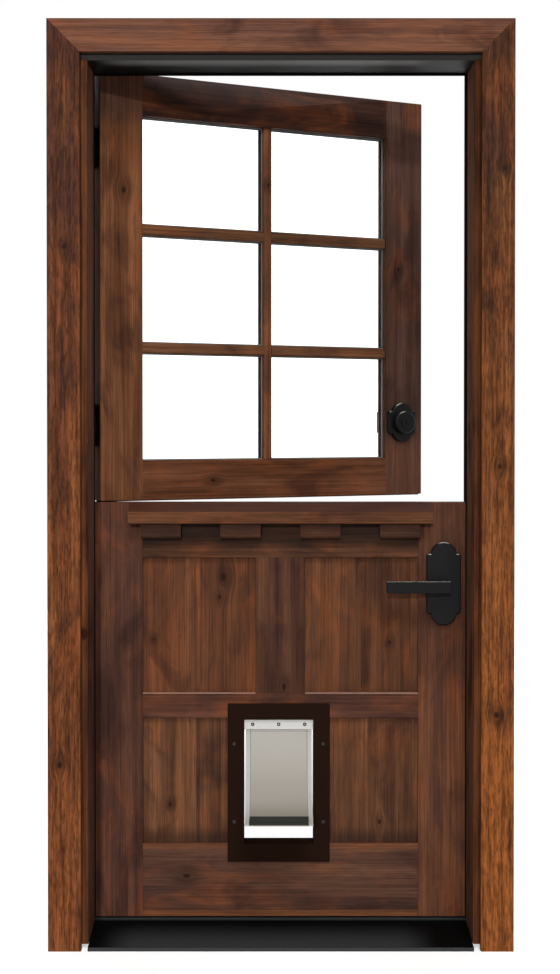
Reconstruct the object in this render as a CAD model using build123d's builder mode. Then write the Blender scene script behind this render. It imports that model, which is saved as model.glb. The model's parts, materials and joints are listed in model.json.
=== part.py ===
# Stable door for an outside wall: a timber frame with its casing and sill, a glazed
# upper leaf that stands ajar, and a panelled lower leaf with a shelf and a pet flap.
# Millimetres. X runs to the right seen from outside, Y runs into the house, Z is up.
# The origin is under the middle of the sill, at the back face of the casing.
import os
from math import cos, radians, sin

from build123d import *

# The two leaves
leaf_width = 910
leaf_thickness = 45
lower_leaf_height = 994
upper_leaf_height = 1030
side_gap = 3
head_gap = 3
meeting_gap = 3
sill_gap = 3
ajar_angle = 27.5
edge_ease = 1.5

# The frame round them
sill_height = 30
stop_cover = 13
seal_thickness = 6.2
seal_width = 14
seal_reach = 7
pressed_seal_reach = 2.5
soft_gap = 0.3
jamb_thickness = 20
stop_depth = 135.5
jamb_foot = 11
casing_width = 76
casing_thickness = 20
casing_reveal = 15
liner_thickness = 1.5
nose_height = 8.5
deck_wall = 2.5
cap_height = 6
cap_depth = 50

# Stiles, rails and panels
lower_stile_width = 125
upper_stile_width = 110
lower_top_rail = 132
lower_middle_rail = 60
lower_bottom_rail = 175
middle_rail_top = 570
mullion_width = 118
upper_bottom_rail = 96
upper_top_rail = 100
panel_recess = 12
panel_thickness = 21
groove_depth = 12
panel_tongue = 10
tenon_clearance = 0.3

# Glazing
glass_thickness = 4
spacer_thickness = 10
spacer_height = 9
glass_lip = 18
glass_rebate = 14
glass_edge_gap = 2
upright_width = 22
crossbar_width = 26
bar_step = 4
bead_step = 1
bar_chamfer = 3

# Shelf on the lower leaf
shelf_length = 723
shelf_depth = 42
shelf_drop = 21
shelf_face = 28
dentil_count = 4
dentil_pitch = 190
dentil_width = 96
dentil_height = 36
dentil_depth = 26
dentil_chamfer = 4

# Hinges
hinge_height = 100
hinge_plate = 2.5
hinge_plate_depth = 38
knuckle_radius = 6.5
knuckle_count = 3
knuckle_gap = 0.3
pin_radius = 3
pin_fit = 0.05
pin_head_radius = 5
pin_head_height = 4
hinge_inset = 180
pin_stand_off = 8
mortise_gap = 0.2

# Lock sets
backset = 65
lever_head_room = 9.5
lever_plate_lift = 4
lever_plate_height = 199
lock_plate_width = 82
lock_plate_thickness = 12
arch_radius = 31
lever_plate_rise = 28
deadbolt_plate_height = 102
deadbolt_plate_rise = 21
plate_corner = 6
plate_chamfer = 2
lever_length = 140
lever_heel = 12
lever_bar_height = 28
lever_bar_thickness = 12
lever_stand_off = 45
neck_radius = 11
spindle_radius = 4
spindle_bore = 6
turn_clearance = 0.3
collar_radius = 31
collar_height = 16
collar_draw = 1.6
plug_radius = 14
plug_height = 2
key_slot = (2.5, 14)
key_slot_depth = 3
turn_length = 42
turn_width = 14
turn_height = 22
case_length = 84
case_width = 22
case_height = 40
face_width = 25
face_height = 64
face_thickness = 3
bolt_width = 12
bolt_height = 24
bolt_length = 42
latch_height = 20
latch_throw = 12
latch_reach = 11
slide_clearance = 0.3
strike_height = 70
strike_width = 28
strike_thickness = 2.5
strike_window = (16, 28)

# Bolt that ties the two leaves together, on the inside
tie_bolt_inset = 55
tie_plate_width = 30
tie_plate_height = 112
tie_plate_thickness = 3
tie_rod_radius = 5
tie_rod_length = 124
tie_bore_gap = 0.4
tie_guide_size = (22, 16, 12)
tie_guide_low = 14
tie_guide_high = 84
tie_rest_lift = 5
tie_bolt_head_room = 9
tie_knob_radius = 4
tie_knob_length = 20
tie_knob_height = 67.5
keeper_height = 28
keeper_drop = 7

# Fixing holes through the side jambs
fixing_radius = 4
fixing_low = 530
fixing_high = 1545

# Pet door in the bottom panel
pet_centre = -4
pet_opening_width = 166
pet_opening_bottom = 209
pet_opening_height = 298
tunnel_wall = 3
tunnel_clearance = 1
pet_flange_width = 244
pet_flange_bottom = 166
pet_flange_height = 379
pet_flange_thickness = 8
inside_flange_thickness = 6
flange_corner = 3
pet_screw_span = (213, 187)
pet_screw_radius = 3
pet_screw_sink = 4.5
clamp_height = 24
clamp_thickness = 10
clamp_side_gap = 1
flap_width = 158
flap_thickness = 3
flap_bend_radius = 193.4
flap_bend = 80
flap_bead_radius = 3
flap_rib_width = 3
flap_rib_height = 2
flap_rib_places = (1, 7)
magnet_side_gap = 0.5
magnet_thickness = 10.5
magnet_bend = 7

# Places that follow from the sizes above
rabbet_half = leaf_width / 2 + side_gap
stop_half = rabbet_half - stop_cover
jamb_outer = rabbet_half + jamb_thickness
lower_bottom = sill_height + sill_gap
lower_top = lower_bottom + lower_leaf_height
upper_bottom = lower_top + meeting_gap
dentil_low = lower_top - shelf_drop - shelf_face - dentil_height
lever_height = dentil_low - lever_head_room - lever_plate_height / 2 - lever_plate_lift
deadbolt_height = (
    upper_bottom + tie_rest_lift + tie_rod_length + tie_bolt_head_room + deadbolt_plate_height / 2
)
upper_top = upper_bottom + upper_leaf_height
rabbet_top = upper_top + head_gap
soffit = rabbet_top - stop_cover
head_top = rabbet_top + jamb_thickness
leaf_front = stop_depth + seal_thickness + soft_gap
leaf_back = leaf_front + leaf_thickness
jamb_depth = leaf_back
casing_inner = stop_half + casing_reveal
casing_outer = casing_inner + casing_width
casing_soffit = soffit + casing_reveal
casing_top = casing_soffit + casing_width
hinge_x = -(leaf_width + side_gap) / 2
hinge_y = leaf_back + pin_stand_off

# In each leaf's own axes u runs from the hinge pin to the lock edge, v into the house
u_start = side_gap / 2
u_end = u_start + leaf_width
v_back = -pin_stand_off
v_front = v_back - leaf_thickness
v_middle = (v_front + v_back) / 2
v_panel_front = v_front + panel_recess
v_panel_back = v_panel_front + panel_thickness
u_spindle = u_end - backset
u_pet = pet_centre - hinge_x
lower = Plane(origin=(hinge_x, hinge_y, 0), x_dir=(1, 0, 0), z_dir=(0, 0, 1))
swing = radians(ajar_angle)
upper = Plane(origin=(hinge_x, hinge_y, 0), x_dir=(cos(swing), sin(swing), 0), z_dir=(0, 0, 1))

os.makedirs("parts", exist_ok=True)


def save(piece, name):
    piece.label = name
    export_step(piece, f"parts/{name}.step")


def box_at(low, high, mode=Mode.ADD):
    """Add or cut a block between two corners of the plane in use."""
    size = [h - l for l, h in zip(low, high)]
    middle = [(l + h) / 2 for l, h in zip(low, high)]
    with Locations(tuple(middle)):
        Box(*size, mode=mode)


def frame_plan(height, amount):
    """A board that fills the frame from jamb to jamb, in the stops and in the rabbet."""
    with BuildPart() as board:
        with BuildSketch(Plane.XY.offset(height)):
            with BuildLine():
                Polyline(
                    (-stop_half, 0), (stop_half, 0), (stop_half, stop_depth),
                    (rabbet_half, stop_depth), (rabbet_half, jamb_depth),
                    (-rabbet_half, jamb_depth), (-rabbet_half, stop_depth),
                    (-stop_half, stop_depth), close=True,
                )
            make_face()
        extrude(amount=amount)
    return board.part


def make_casing():
    """Flat casing boards, mitred at the head."""
    with BuildPart() as leg:
        with BuildSketch(Plane.XZ.offset(casing_thickness)):
            with BuildLine():
                Polyline(
                    (-casing_outer, 0), (-casing_inner, 0), (-casing_inner, casing_soffit),
                    (-casing_outer, casing_top), close=True,
                )
            make_face()
        extrude(amount=-casing_thickness)
        front = leg.faces().sort_by(Axis.Y)[0]
        fillet(front.edges().filter_by(Axis.Z), edge_ease)
    with BuildPart() as head:
        with BuildSketch(Plane.XZ.offset(casing_thickness)):
            with BuildLine():
                Polyline(
                    (-casing_inner, casing_soffit), (casing_inner, casing_soffit),
                    (casing_outer, casing_top), (-casing_outer, casing_top), close=True,
                )
            make_face()
        extrude(amount=-casing_thickness)
        front = head.faces().sort_by(Axis.Y)[0]
        fillet(front.edges().filter_by(Axis.X), edge_ease)
    with BuildPart() as other_leg:
        mirror(leg.part, about=Plane.YZ)
    save(leg.part, "casing_left")
    save(other_leg.part, "casing_right")
    save(head.part, "casing_head")


def side_jamb():
    """The section of a side jamb, with the stop that the leaf shuts against."""
    with BuildPart() as jamb:
        with BuildSketch(Plane.XY.offset(jamb_foot)):
            with BuildLine():
                Polyline(
                    (stop_half, 0), (jamb_outer, 0), (jamb_outer, jamb_depth),
                    (rabbet_half, jamb_depth), (rabbet_half, stop_depth),
                    (stop_half, stop_depth), close=True,
                )
            make_face()
        extrude(amount=head_top - jamb_foot)
        with BuildSketch(Plane.YZ.offset(jamb_outer)):
            with Locations((leaf_front + leaf_thickness / 2, fixing_low),
                           (leaf_front + leaf_thickness / 2, fixing_high)):
                Circle(fixing_radius)
        extrude(amount=-jamb_thickness, mode=Mode.SUBTRACT)
    return jamb.part


hinge_heights = (
    lower_bottom + hinge_inset, lower_top - hinge_inset,
    upper_bottom + hinge_inset, upper_top - hinge_inset,
)


def make_jambs():
    """Side jambs with their hinge and strike mortises, and the head."""
    middle_y = leaf_front + leaf_thickness / 2
    with BuildPart() as hinge_jamb:
        mirror(side_jamb(), about=Plane.YZ)
        for height in hinge_heights:
            half = hinge_height / 2 + mortise_gap
            box_at(
                (-rabbet_half - hinge_plate, jamb_depth - hinge_plate_depth, height - half),
                (-rabbet_half, jamb_depth, height + half), Mode.SUBTRACT,
            )
    with BuildPart() as strike_jamb:
        add(side_jamb())
        for height, depth in ((lever_height, latch_throw + side_gap), (deadbolt_height, jamb_thickness)):
            half = strike_height / 2 + mortise_gap
            box_at(
                (rabbet_half, middle_y - strike_width / 2 - mortise_gap, height - half),
                (rabbet_half + strike_thickness, middle_y + strike_width / 2 + mortise_gap,
                 height + half), Mode.SUBTRACT,
            )
            box_at(
                (rabbet_half, middle_y - strike_window[0] / 2, height - strike_window[1] / 2),
                (rabbet_half + depth, middle_y + strike_window[0] / 2,
                 height + strike_window[1] / 2), Mode.SUBTRACT,
            )
    with BuildPart() as head:
        add(frame_plan(soffit, head_top - soffit))
        box_at((-rabbet_half, stop_depth, soffit), (rabbet_half, jamb_depth, rabbet_top), Mode.SUBTRACT)
    save(hinge_jamb.part, "jamb_hinge_side")
    save(strike_jamb.part, "jamb_lock_side")
    save(head.part, "jamb_head")
    for name, height in (("strike_plate_latch", lever_height), ("strike_plate_deadbolt", deadbolt_height)):
        with BuildPart() as plate:
            with BuildSketch(Plane.YZ.offset(rabbet_half)):
                with Locations((middle_y, height)):
                    RectangleRounded(strike_width, strike_height, edge_ease)
                    Rectangle(*strike_window, mode=Mode.SUBTRACT)
            extrude(amount=strike_thickness)
        save(plate.part, name)


def make_head_liner():
    """Dark metal angle over the front edge and the underside of the head."""
    with BuildPart() as liner:
        box_at((-stop_half, -liner_thickness, soffit - liner_thickness), (stop_half, stop_depth, soffit))
        box_at((-casing_inner, -liner_thickness, soffit), (casing_inner, 0, casing_soffit))
    save(liner.part, "head_liner")


def make_weatherstrip():
    """One soft bulb seal round the stops, pressed flat where a leaf lies near it."""
    outer_half = stop_half - seal_reach + seal_width
    free_half = stop_half - seal_reach
    pressed_half = stop_half - pressed_seal_reach
    outer_top = soffit - seal_reach + seal_width
    inner_top = soffit - seal_reach
    foot = sill_height + soft_gap
    with BuildPart() as seal:
        with BuildSketch(Plane.XZ.offset(-stop_depth)):
            with BuildLine():
                Polyline(
                    (-outer_half, foot), (-outer_half, outer_top), (outer_half, outer_top),
                    (outer_half, foot), (pressed_half, foot), (pressed_half, lower_top),
                    (free_half, upper_bottom), (free_half, inner_top),
                    (-pressed_half, inner_top), (-pressed_half, foot), close=True,
                )
            make_face()
        extrude(amount=-seal_thickness)
        inner_edges = seal.edges().filter_by(Axis.Z).filter_by(
            lambda edge: abs(edge.center().X) < pressed_half + edge_ease
        )
        top_edges = seal.edges().filter_by(Axis.X).filter_by(
            lambda edge: abs(edge.center().Z - inner_top) < edge_ease / 2
        )
        chamfer(inner_edges + top_edges, seal_thickness / 3)
    save(seal.part, "weatherstrip")


def make_sill():
    """Sloped metal deck over a timber core, with a raised cap under the lower leaf."""
    deck_top = sill_height - cap_height
    slope_end = stop_depth
    with BuildPart() as core:
        with BuildSketch(Plane.YZ.offset(-rabbet_half)):
            with BuildLine():
                Polyline(
                    (deck_wall - casing_thickness, 0),
                    (deck_wall - casing_thickness, nose_height - deck_wall),
                    (slope_end, deck_top - deck_wall), (jamb_depth, deck_top - deck_wall),
                    (jamb_depth, 0), close=True,
                )
            make_face()
        extrude(amount=2 * rabbet_half)
        for side in (-1, 1):
            edges = sorted((side * stop_half, side * rabbet_half))
            box_at((edges[0], -casing_thickness, 0), (edges[1], stop_depth, sill_height), Mode.SUBTRACT)
    with BuildPart() as deck:
        with BuildSketch(Plane.YZ.offset(-rabbet_half)):
            with BuildLine():
                Polyline(
                    (-casing_thickness, 0), (-casing_thickness, nose_height),
                    (slope_end, deck_top), (jamb_depth, deck_top),
                    (jamb_depth, deck_top - deck_wall), (slope_end, deck_top - deck_wall),
                    (deck_wall - casing_thickness, nose_height - deck_wall),
                    (deck_wall - casing_thickness, 0), close=True,
                )
            make_face()
        extrude(amount=2 * rabbet_half)
        for side in (-1, 1):
            edges = sorted((side * stop_half, side * rabbet_half))
            box_at((edges[0], -casing_thickness, 0), (edges[1], stop_depth, sill_height), Mode.SUBTRACT)
    with BuildPart() as cap:
        with BuildSketch(Plane.YZ.offset(-rabbet_half)):
            with Locations((jamb_depth - cap_depth / 2, deck_top + cap_height / 2)):
                Rectangle(cap_depth, cap_height)
        extrude(amount=2 * rabbet_half)
        top = cap.faces().sort_by(Axis.Z)[-1]
        chamfer(top.edges().filter_by(Axis.X), edge_ease)
    save(core.part, "sill_core")
    save(deck.part, "sill_deck")
    save(cap.part, "sill_cap")


def knuckle_band(index):
    """Lowest and highest point of one knuckle, measured from the hinge's middle."""
    pitch = hinge_height / knuckle_count
    low = -hinge_height / 2 + index * pitch
    return low + knuckle_gap / 2, low + pitch - knuckle_gap / 2


def hinge_side(plane, heights, plate_u, knuckles, bore):
    """Plates and knuckles of several hinges on one side of the pin."""
    with BuildPart(plane) as plates:
        for height in heights:
            box_at(
                (plate_u[0], v_back - hinge_plate_depth, height - hinge_height / 2),
                (plate_u[1], v_back, height + hinge_height / 2),
            )
            for index in knuckles:
                low, high = knuckle_band(index)
                box_at((plate_u[0], v_back, height + low), (plate_u[1], 0, height + high))
                with Locations((0, 0, height + low)):
                    Cylinder(
                        knuckle_radius, high - low,
                        align=(Align.CENTER, Align.CENTER, Align.MIN),
                    )
            with Locations((0, 0, height)):
                Cylinder(bore, hinge_height, mode=Mode.SUBTRACT)
    return plates.part


def make_hinges():
    """Four butt hinges, two to a leaf, with loose pins held by the frame's knuckles."""
    frame_knuckles = range(0, knuckle_count, 2)
    leaf_knuckles = range(1, knuckle_count, 2)
    frame_u = (-u_start - hinge_plate, -u_start)
    leaf_u = (u_start, u_start + hinge_plate)
    frame_plates = hinge_side(lower, hinge_heights, frame_u, frame_knuckles, pin_radius)
    save(frame_plates, "hinge_plates_frame")
    bore = pin_radius + pin_fit
    save(hinge_side(lower, hinge_heights[:2], leaf_u, leaf_knuckles, bore), "hinge_plates_lower")
    save(hinge_side(upper, hinge_heights[2:], leaf_u, leaf_knuckles, bore), "hinge_plates_upper")
    with BuildPart(lower) as pins:
        for height in hinge_heights:
            with Locations((0, 0, height)):
                Cylinder(pin_radius, hinge_height)
            with Locations((0, 0, height + hinge_height / 2)):
                Cylinder(
                    pin_head_radius, pin_head_height,
                    align=(Align.CENTER, Align.CENTER, Align.MIN),
                )
    save(pins.part, "hinge_pins")


def mortise_hinges(u_edge, heights):
    """Cut the pockets that hinge plates sit in, into the part being built."""
    for height in heights:
        half = hinge_height / 2 + mortise_gap
        box_at(
            (u_edge, v_back - hinge_plate_depth, height - half),
            (u_edge + hinge_plate, v_back, height + half), Mode.SUBTRACT,
        )


def mortise_lock(height):
    """Cut the pocket of a lock case and the cross bore of its spindle."""
    box_at(
        (u_end - case_length, v_middle - case_width / 2, height - case_height / 2),
        (u_end, v_middle + case_width / 2, height + case_height / 2), Mode.SUBTRACT,
    )
    box_at(
        (u_end - face_thickness, v_middle - face_width / 2, height - face_height / 2),
        (u_end, v_middle + face_width / 2, height + face_height / 2), Mode.SUBTRACT,
    )
    with Locations((u_spindle, v_middle, height)):
        Cylinder(neck_radius + turn_clearance, leaf_thickness, rotation=(90, 0, 0), mode=Mode.SUBTRACT)


def tongue_rail(plane, u_span, z_span, grooves):
    """A rail with a stub tenon at each end and a groove in the edges named."""
    with BuildPart(plane) as rail:
        box_at((u_span[0], v_front, z_span[0]), (u_span[1], v_back, z_span[1]))
        tenon = groove_depth - tenon_clearance
        box_at(
            (u_span[0] - tenon, v_panel_front, z_span[0]),
            (u_span[1] + tenon, v_panel_back, z_span[1]),
        )
        if "low" in grooves:
            box_at(
                (u_span[0] - tenon, v_panel_front, z_span[0]),
                (u_span[1] + tenon, v_panel_back, z_span[0] + groove_depth), Mode.SUBTRACT,
            )
        if "high" in grooves:
            box_at(
                (u_span[0] - tenon, v_panel_front, z_span[1] - groove_depth),
                (u_span[1] + tenon, v_panel_back, z_span[1]), Mode.SUBTRACT,
            )
    return rail.part


def pet_cut():
    """Cut the pet door's way through, into the part being built."""
    half = pet_opening_width / 2 + tunnel_wall + tunnel_clearance
    low = pet_opening_bottom - tunnel_wall - tunnel_clearance
    high = pet_opening_bottom + pet_opening_height + tunnel_wall + tunnel_clearance
    box_at((u_pet - half, v_front, low), (u_pet + half, v_back, high), Mode.SUBTRACT)


def make_lower_leaf():
    """Stiles and rails with grooved edges, a middle upright and three flat panels."""
    inner = (u_start + lower_stile_width, u_end - lower_stile_width)
    top_rail_low = lower_top - lower_top_rail
    bottom_rail_high = lower_bottom + lower_bottom_rail
    middle_rail_low = middle_rail_top - lower_middle_rail
    with BuildPart(lower) as hinge_stile:
        box_at((u_start, v_front, lower_bottom), (inner[0], v_back, lower_top))
        box_at(
            (inner[0] - groove_depth, v_panel_front, lower_bottom),
            (inner[0], v_panel_back, lower_top), Mode.SUBTRACT,
        )
        mortise_hinges(u_start, hinge_heights[:2])
    with BuildPart(lower) as lock_stile:
        box_at((inner[1], v_front, lower_bottom), (u_end, v_back, lower_top))
        box_at(
            (inner[1], v_panel_front, lower_bottom),
            (inner[1] + groove_depth, v_panel_back, lower_top), Mode.SUBTRACT,
        )
        mortise_lock(lever_height)
    save(hinge_stile.part, "lower_stile_hinge_side")
    save(lock_stile.part, "lower_stile_lock_side")
    save(tongue_rail(lower, inner, (top_rail_low, lower_top), ("low",)), "lower_rail_top")
    with BuildPart() as middle_rail:
        add(tongue_rail(lower, inner, (middle_rail_low, middle_rail_top), ("low", "high")))
        with Locations(lower):
            pet_cut()
    save(middle_rail.part, "lower_rail_middle")
    with BuildPart() as bottom_rail:
        add(tongue_rail(lower, inner, (lower_bottom, bottom_rail_high), ("high",)))
        with Locations(lower):
            pet_cut()
    save(bottom_rail.part, "lower_rail_bottom")

    centre = (u_start + u_end) / 2
    upright = (centre - mullion_width / 2, centre + mullion_width / 2)
    with BuildPart(lower) as mullion:
        box_at((upright[0], v_front, middle_rail_top), (upright[1], v_back, top_rail_low))
        tenon = groove_depth - tenon_clearance
        box_at(
            (upright[0] + groove_depth, v_panel_front, middle_rail_top - tenon),
            (upright[1] - groove_depth, v_panel_back, top_rail_low + tenon),
        )
        for side in (upright[0], upright[1] - groove_depth):
            box_at(
                (side, v_panel_front, middle_rail_top),
                (side + groove_depth, v_panel_back, top_rail_low), Mode.SUBTRACT,
            )
    save(mullion.part, "lower_mullion")
    for name, span in (("panel_left", (inner[0], upright[0])), ("panel_right", (upright[1], inner[1]))):
        with BuildPart(lower) as panel:
            box_at(
                (span[0] - panel_tongue, v_panel_front, middle_rail_top - panel_tongue),
                (span[1] + panel_tongue, v_panel_back, top_rail_low + panel_tongue),
            )
        save(panel.part, name)
    with BuildPart(lower) as bottom_panel:
        box_at(
            (inner[0] - panel_tongue, v_panel_front, bottom_rail_high - panel_tongue),
            (inner[1] + panel_tongue, v_panel_back, middle_rail_low + panel_tongue),
        )
        pet_cut()
    save(bottom_panel.part, "panel_bottom")


def make_shelf():
    """Sloped shelf with a row of dentils under it, across the lower leaf."""
    centre = (u_start + u_end) / 2
    face_top = lower_top - shelf_drop
    face_low = face_top - shelf_face
    start = hinge_x + centre - shelf_length / 2
    front = hinge_y + v_front
    with BuildPart() as shelf:
        with BuildSketch(Plane.YZ.offset(start)):
            with BuildLine():
                Polyline(
                    (front, lower_top), (front - shelf_depth, face_top),
                    (front - shelf_depth, face_low), (front, face_low), close=True,
                )
            make_face()
        extrude(amount=shelf_length)
        nose = shelf.edges().filter_by(Axis.X).filter_by(
            lambda edge: edge.center().Y < front - shelf_depth / 2
        )
        fillet(nose, edge_ease)
        for place in range(dentil_count):
            x = hinge_x + centre + (place - (dentil_count - 1) / 2) * dentil_pitch
            with BuildSketch(Plane.YZ.offset(x - dentil_width / 2)):
                with BuildLine():
                    Polyline(
                        (front, face_low), (front - dentil_depth, face_low),
                        (front - dentil_depth, face_low - dentil_height + dentil_chamfer),
                        (front - dentil_depth + dentil_chamfer, face_low - dentil_height),
                        (front, face_low - dentil_height), close=True,
                    )
                make_face()
            extrude(amount=dentil_width)
    save(shelf.part, "dentil_shelf")


def glazed_rail(u_span, z_span, glass_edge):
    """A rail coped over the rebate of the stiles, with its own rebate for the glass."""
    v_glass = v_front + glass_lip
    with BuildPart(upper) as rail:
        box_at((u_span[0], v_front, z_span[0]), (u_span[1], v_glass, z_span[1]))
        box_at(
            (u_span[0] - glass_rebate, v_glass, z_span[0]),
            (u_span[1] + glass_rebate, v_back, z_span[1]),
        )
        band = (glass_edge, glass_edge + glass_rebate)
        if glass_edge != z_span[0]:
            band = (glass_edge - glass_rebate, glass_edge)
        box_at(
            (u_span[0] - glass_rebate, v_glass, band[0]),
            (u_span[1] + glass_rebate, v_back, band[1]), Mode.SUBTRACT,
        )
    return rail.part


def make_upper_leaf():
    """Rebated stiles and rails round six panes divided by bars."""
    v_glass = v_front + glass_lip
    inner = (u_start + upper_stile_width, u_end - upper_stile_width)
    low = upper_bottom + upper_bottom_rail
    high = upper_top - upper_top_rail
    with BuildPart(upper) as hinge_stile:
        box_at((u_start, v_front, upper_bottom), (inner[0], v_back, upper_top))
        box_at(
            (inner[0] - glass_rebate, v_glass, upper_bottom),
            (inner[0], v_back, upper_top), Mode.SUBTRACT,
        )
        mortise_hinges(u_start, hinge_heights[2:])
    with BuildPart(upper) as lock_stile:
        box_at((inner[1], v_front, upper_bottom), (u_end, v_back, upper_top))
        box_at(
            (inner[1], v_glass, upper_bottom),
            (inner[1] + glass_rebate, v_back, upper_top), Mode.SUBTRACT,
        )
        mortise_lock(deadbolt_height)
    save(hinge_stile.part, "upper_stile_hinge_side")
    save(lock_stile.part, "upper_stile_lock_side")
    save(glazed_rail(inner, (upper_bottom, low), low), "upper_rail_bottom")
    save(glazed_rail(inner, (high, upper_top), high), "upper_rail_top")

    # Two panes with a spacer between them, in the rebate behind the lip
    edge = glass_rebate - glass_edge_gap
    pane_low = (inner[0] - edge, low - edge)
    pane_high = (inner[1] + edge, high + edge)
    v_spacer = v_glass + glass_thickness
    v_inner_pane = v_spacer + spacer_thickness
    v_bead = v_inner_pane + glass_thickness
    for name, depth in (("glass_outside", v_glass), ("glass_inside", v_inner_pane)):
        with BuildPart(upper) as pane:
            box_at(
                (pane_low[0], depth, pane_low[1]),
                (pane_high[0], depth + glass_thickness, pane_high[1]),
            )
        save(pane.part, name)
    with BuildPart(upper) as spacer:
        box_at((pane_low[0], v_spacer, pane_low[1]), (pane_high[0], v_inner_pane, pane_high[1]))
        box_at(
            (pane_low[0] + spacer_height, v_spacer, pane_low[1] + spacer_height),
            (pane_high[0] - spacer_height, v_inner_pane, pane_high[1] - spacer_height), Mode.SUBTRACT,
        )
    save(spacer.part, "glass_spacer")

    # Bars on the outside: one upright and two crossbars halved over it
    centre = (inner[0] + inner[1]) / 2
    lite = (high - low - 2 * crossbar_width) / 3
    crossings = (low + lite + crossbar_width / 2, high - lite - crossbar_width / 2)
    bar_front = v_front + bar_step
    half_depth = (bar_front + v_glass) / 2
    half_upright = upright_width / 2
    half_cross = crossbar_width / 2
    with BuildPart(upper) as bar:
        with BuildSketch(upper.offset(low)):
            with BuildLine():
                Polyline(
                    (centre - half_upright, v_glass), (centre - half_upright, bar_front + bar_chamfer),
                    (centre - half_upright + bar_chamfer, bar_front),
                    (centre + half_upright - bar_chamfer, bar_front),
                    (centre + half_upright, bar_front + bar_chamfer),
                    (centre + half_upright, v_glass), close=True,
                )
            make_face()
        extrude(amount=high - low)
        for z in crossings:
            box_at(
                (centre - half_upright, half_depth, z - half_cross),
                (centre + half_upright, v_glass, z + half_cross), Mode.SUBTRACT,
            )
    save(bar.part, "glazing_bar_upright")
    for name, z in zip(("glazing_bar_lower", "glazing_bar_upper"), crossings):
        with BuildPart(upper) as crossbar:
            box_at((inner[0], bar_front, z - half_cross), (inner[1], v_glass, z + half_cross))
            front = crossbar.faces().sort_by(Axis(upper.origin, upper.y_dir))[0]
            long_edges = front.edges().filter_by(Axis(upper.origin, upper.x_dir))
            chamfer(long_edges, bar_chamfer)
            box_at(
                (centre - half_upright, bar_front, z - half_cross),
                (centre + half_upright, half_depth, z + half_cross), Mode.SUBTRACT,
            )
        save(crossbar.part, name)

    # Inside frame that holds the glass: four beads and the bars' twins in one piece
    with BuildPart(upper) as bead:
        box_at(
            (inner[0] - glass_rebate, v_bead, low - glass_rebate),
            (inner[1] + glass_rebate, v_back - bead_step, high + glass_rebate),
        )
        columns = (inner[0], centre - half_upright, centre + half_upright, inner[1])
        rows = (low, crossings[0] - half_cross, crossings[0] + half_cross, crossings[1] - half_cross,
                crossings[1] + half_cross, high)
        for left, right in zip(columns[::2], columns[1::2]):
            for bottom, top in zip(rows[::2], rows[1::2]):
                box_at((left, v_bead, bottom), (right, v_back - bead_step, top), Mode.SUBTRACT)
    save(bead.part, "glazing_frame_inside")


def face_plane(plane, u, v, z, inside):
    """A plane on one face of a leaf, facing away from it, with Z still up."""
    way = 1 if inside else -1
    return Plane(
        origin=plane.from_local_coords(Vector(u, v, z)),
        x_dir=plane.x_dir * -way, z_dir=plane.y_dir * way,
    )


def lock_plate(plane, height, rise):
    """Plate with an arch at each end, set in a little from its straight sides."""
    with BuildPart() as plate:
        with BuildSketch(plane) as outline:
            Rectangle(lock_plate_width, height - 2 * rise)
            fillet(outline.vertices(), plate_corner)
            Rectangle(2 * arch_radius - 2 * plate_chamfer, height - 2 * arch_radius)
            for end in (-1, 1):
                with Locations((0, end * (height / 2 - arch_radius))):
                    Circle(arch_radius)
        extrude(amount=lock_plate_thickness)
        face = plate.faces().sort_by(Axis(plane.origin, plane.z_dir))[-1]
        chamfer(face.edges(), plate_chamfer)
    return plate.part


def bored_plate(leaf, u, z, inside, height, rise, lift, bore):
    """A lock plate on a leaf, lifted from the spindle's height, with the spindle's hole."""
    plane = face_plane(leaf, u, v_back if inside else v_front, z + lift, inside)
    with BuildPart() as plate:
        add(lock_plate(plane, height, rise))
        with BuildSketch(plane):
            with Locations((0, -lift)):
                Circle(bore)
        extrude(amount=lock_plate_thickness, mode=Mode.SUBTRACT)
    return plate.part


def lock_case(leaf, z, height):
    """Mortised case with its face plate, a channel for the bolt and a spindle hole."""
    half_slot = (bolt_width / 2 + slide_clearance, height / 2 + slide_clearance)
    with BuildPart(leaf) as case:
        box_at(
            (u_end - case_length, v_middle - case_width / 2, z - case_height / 2),
            (u_end, v_middle + case_width / 2, z + case_height / 2),
        )
        box_at(
            (u_end - face_thickness, v_middle - face_width / 2, z - face_height / 2),
            (u_end, v_middle + face_width / 2, z + face_height / 2),
        )
        box_at(
            (u_end - bolt_length - face_thickness, v_middle - half_slot[0], z - half_slot[1]),
            (u_end, v_middle + half_slot[0], z + half_slot[1]), Mode.SUBTRACT,
        )
        with Locations((u_spindle, v_middle, z)):
            Cylinder(spindle_bore, case_width, rotation=(90, 0, 0), mode=Mode.SUBTRACT)
    return case.part


def lever_side(inside, spindle):
    """One lever: a square bar on a round neck, with the spindle on the outside one."""
    face = v_back if inside else v_front
    plane = face_plane(lower, u_spindle, face, lever_height, inside)
    way = -1 if inside else 1
    with BuildPart() as lever:
        with BuildSketch(plane):
            Circle(neck_radius)
        extrude(amount=lever_stand_off + lock_plate_thickness)
        bar_middle = way * (lever_heel - lever_length) / 2
        bar_start = lever_stand_off + lock_plate_thickness - lever_bar_thickness / 2
        with BuildSketch(plane.offset(bar_start)):
            with Locations((bar_middle, 0)):
                RectangleRounded(lever_length + lever_heel, lever_bar_height, edge_ease)
        extrude(amount=lever_bar_thickness)
        front = lever.faces().sort_by(Axis(plane.origin, plane.z_dir))[-1]
        chamfer(front.edges(), edge_ease / 2)
        with BuildSketch(plane):
            Circle(spindle_radius)
        if spindle:
            extrude(amount=-(leaf_thickness + lock_plate_thickness))
        else:
            extrude(amount=lock_plate_thickness, mode=Mode.SUBTRACT)
    return lever.part


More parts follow.
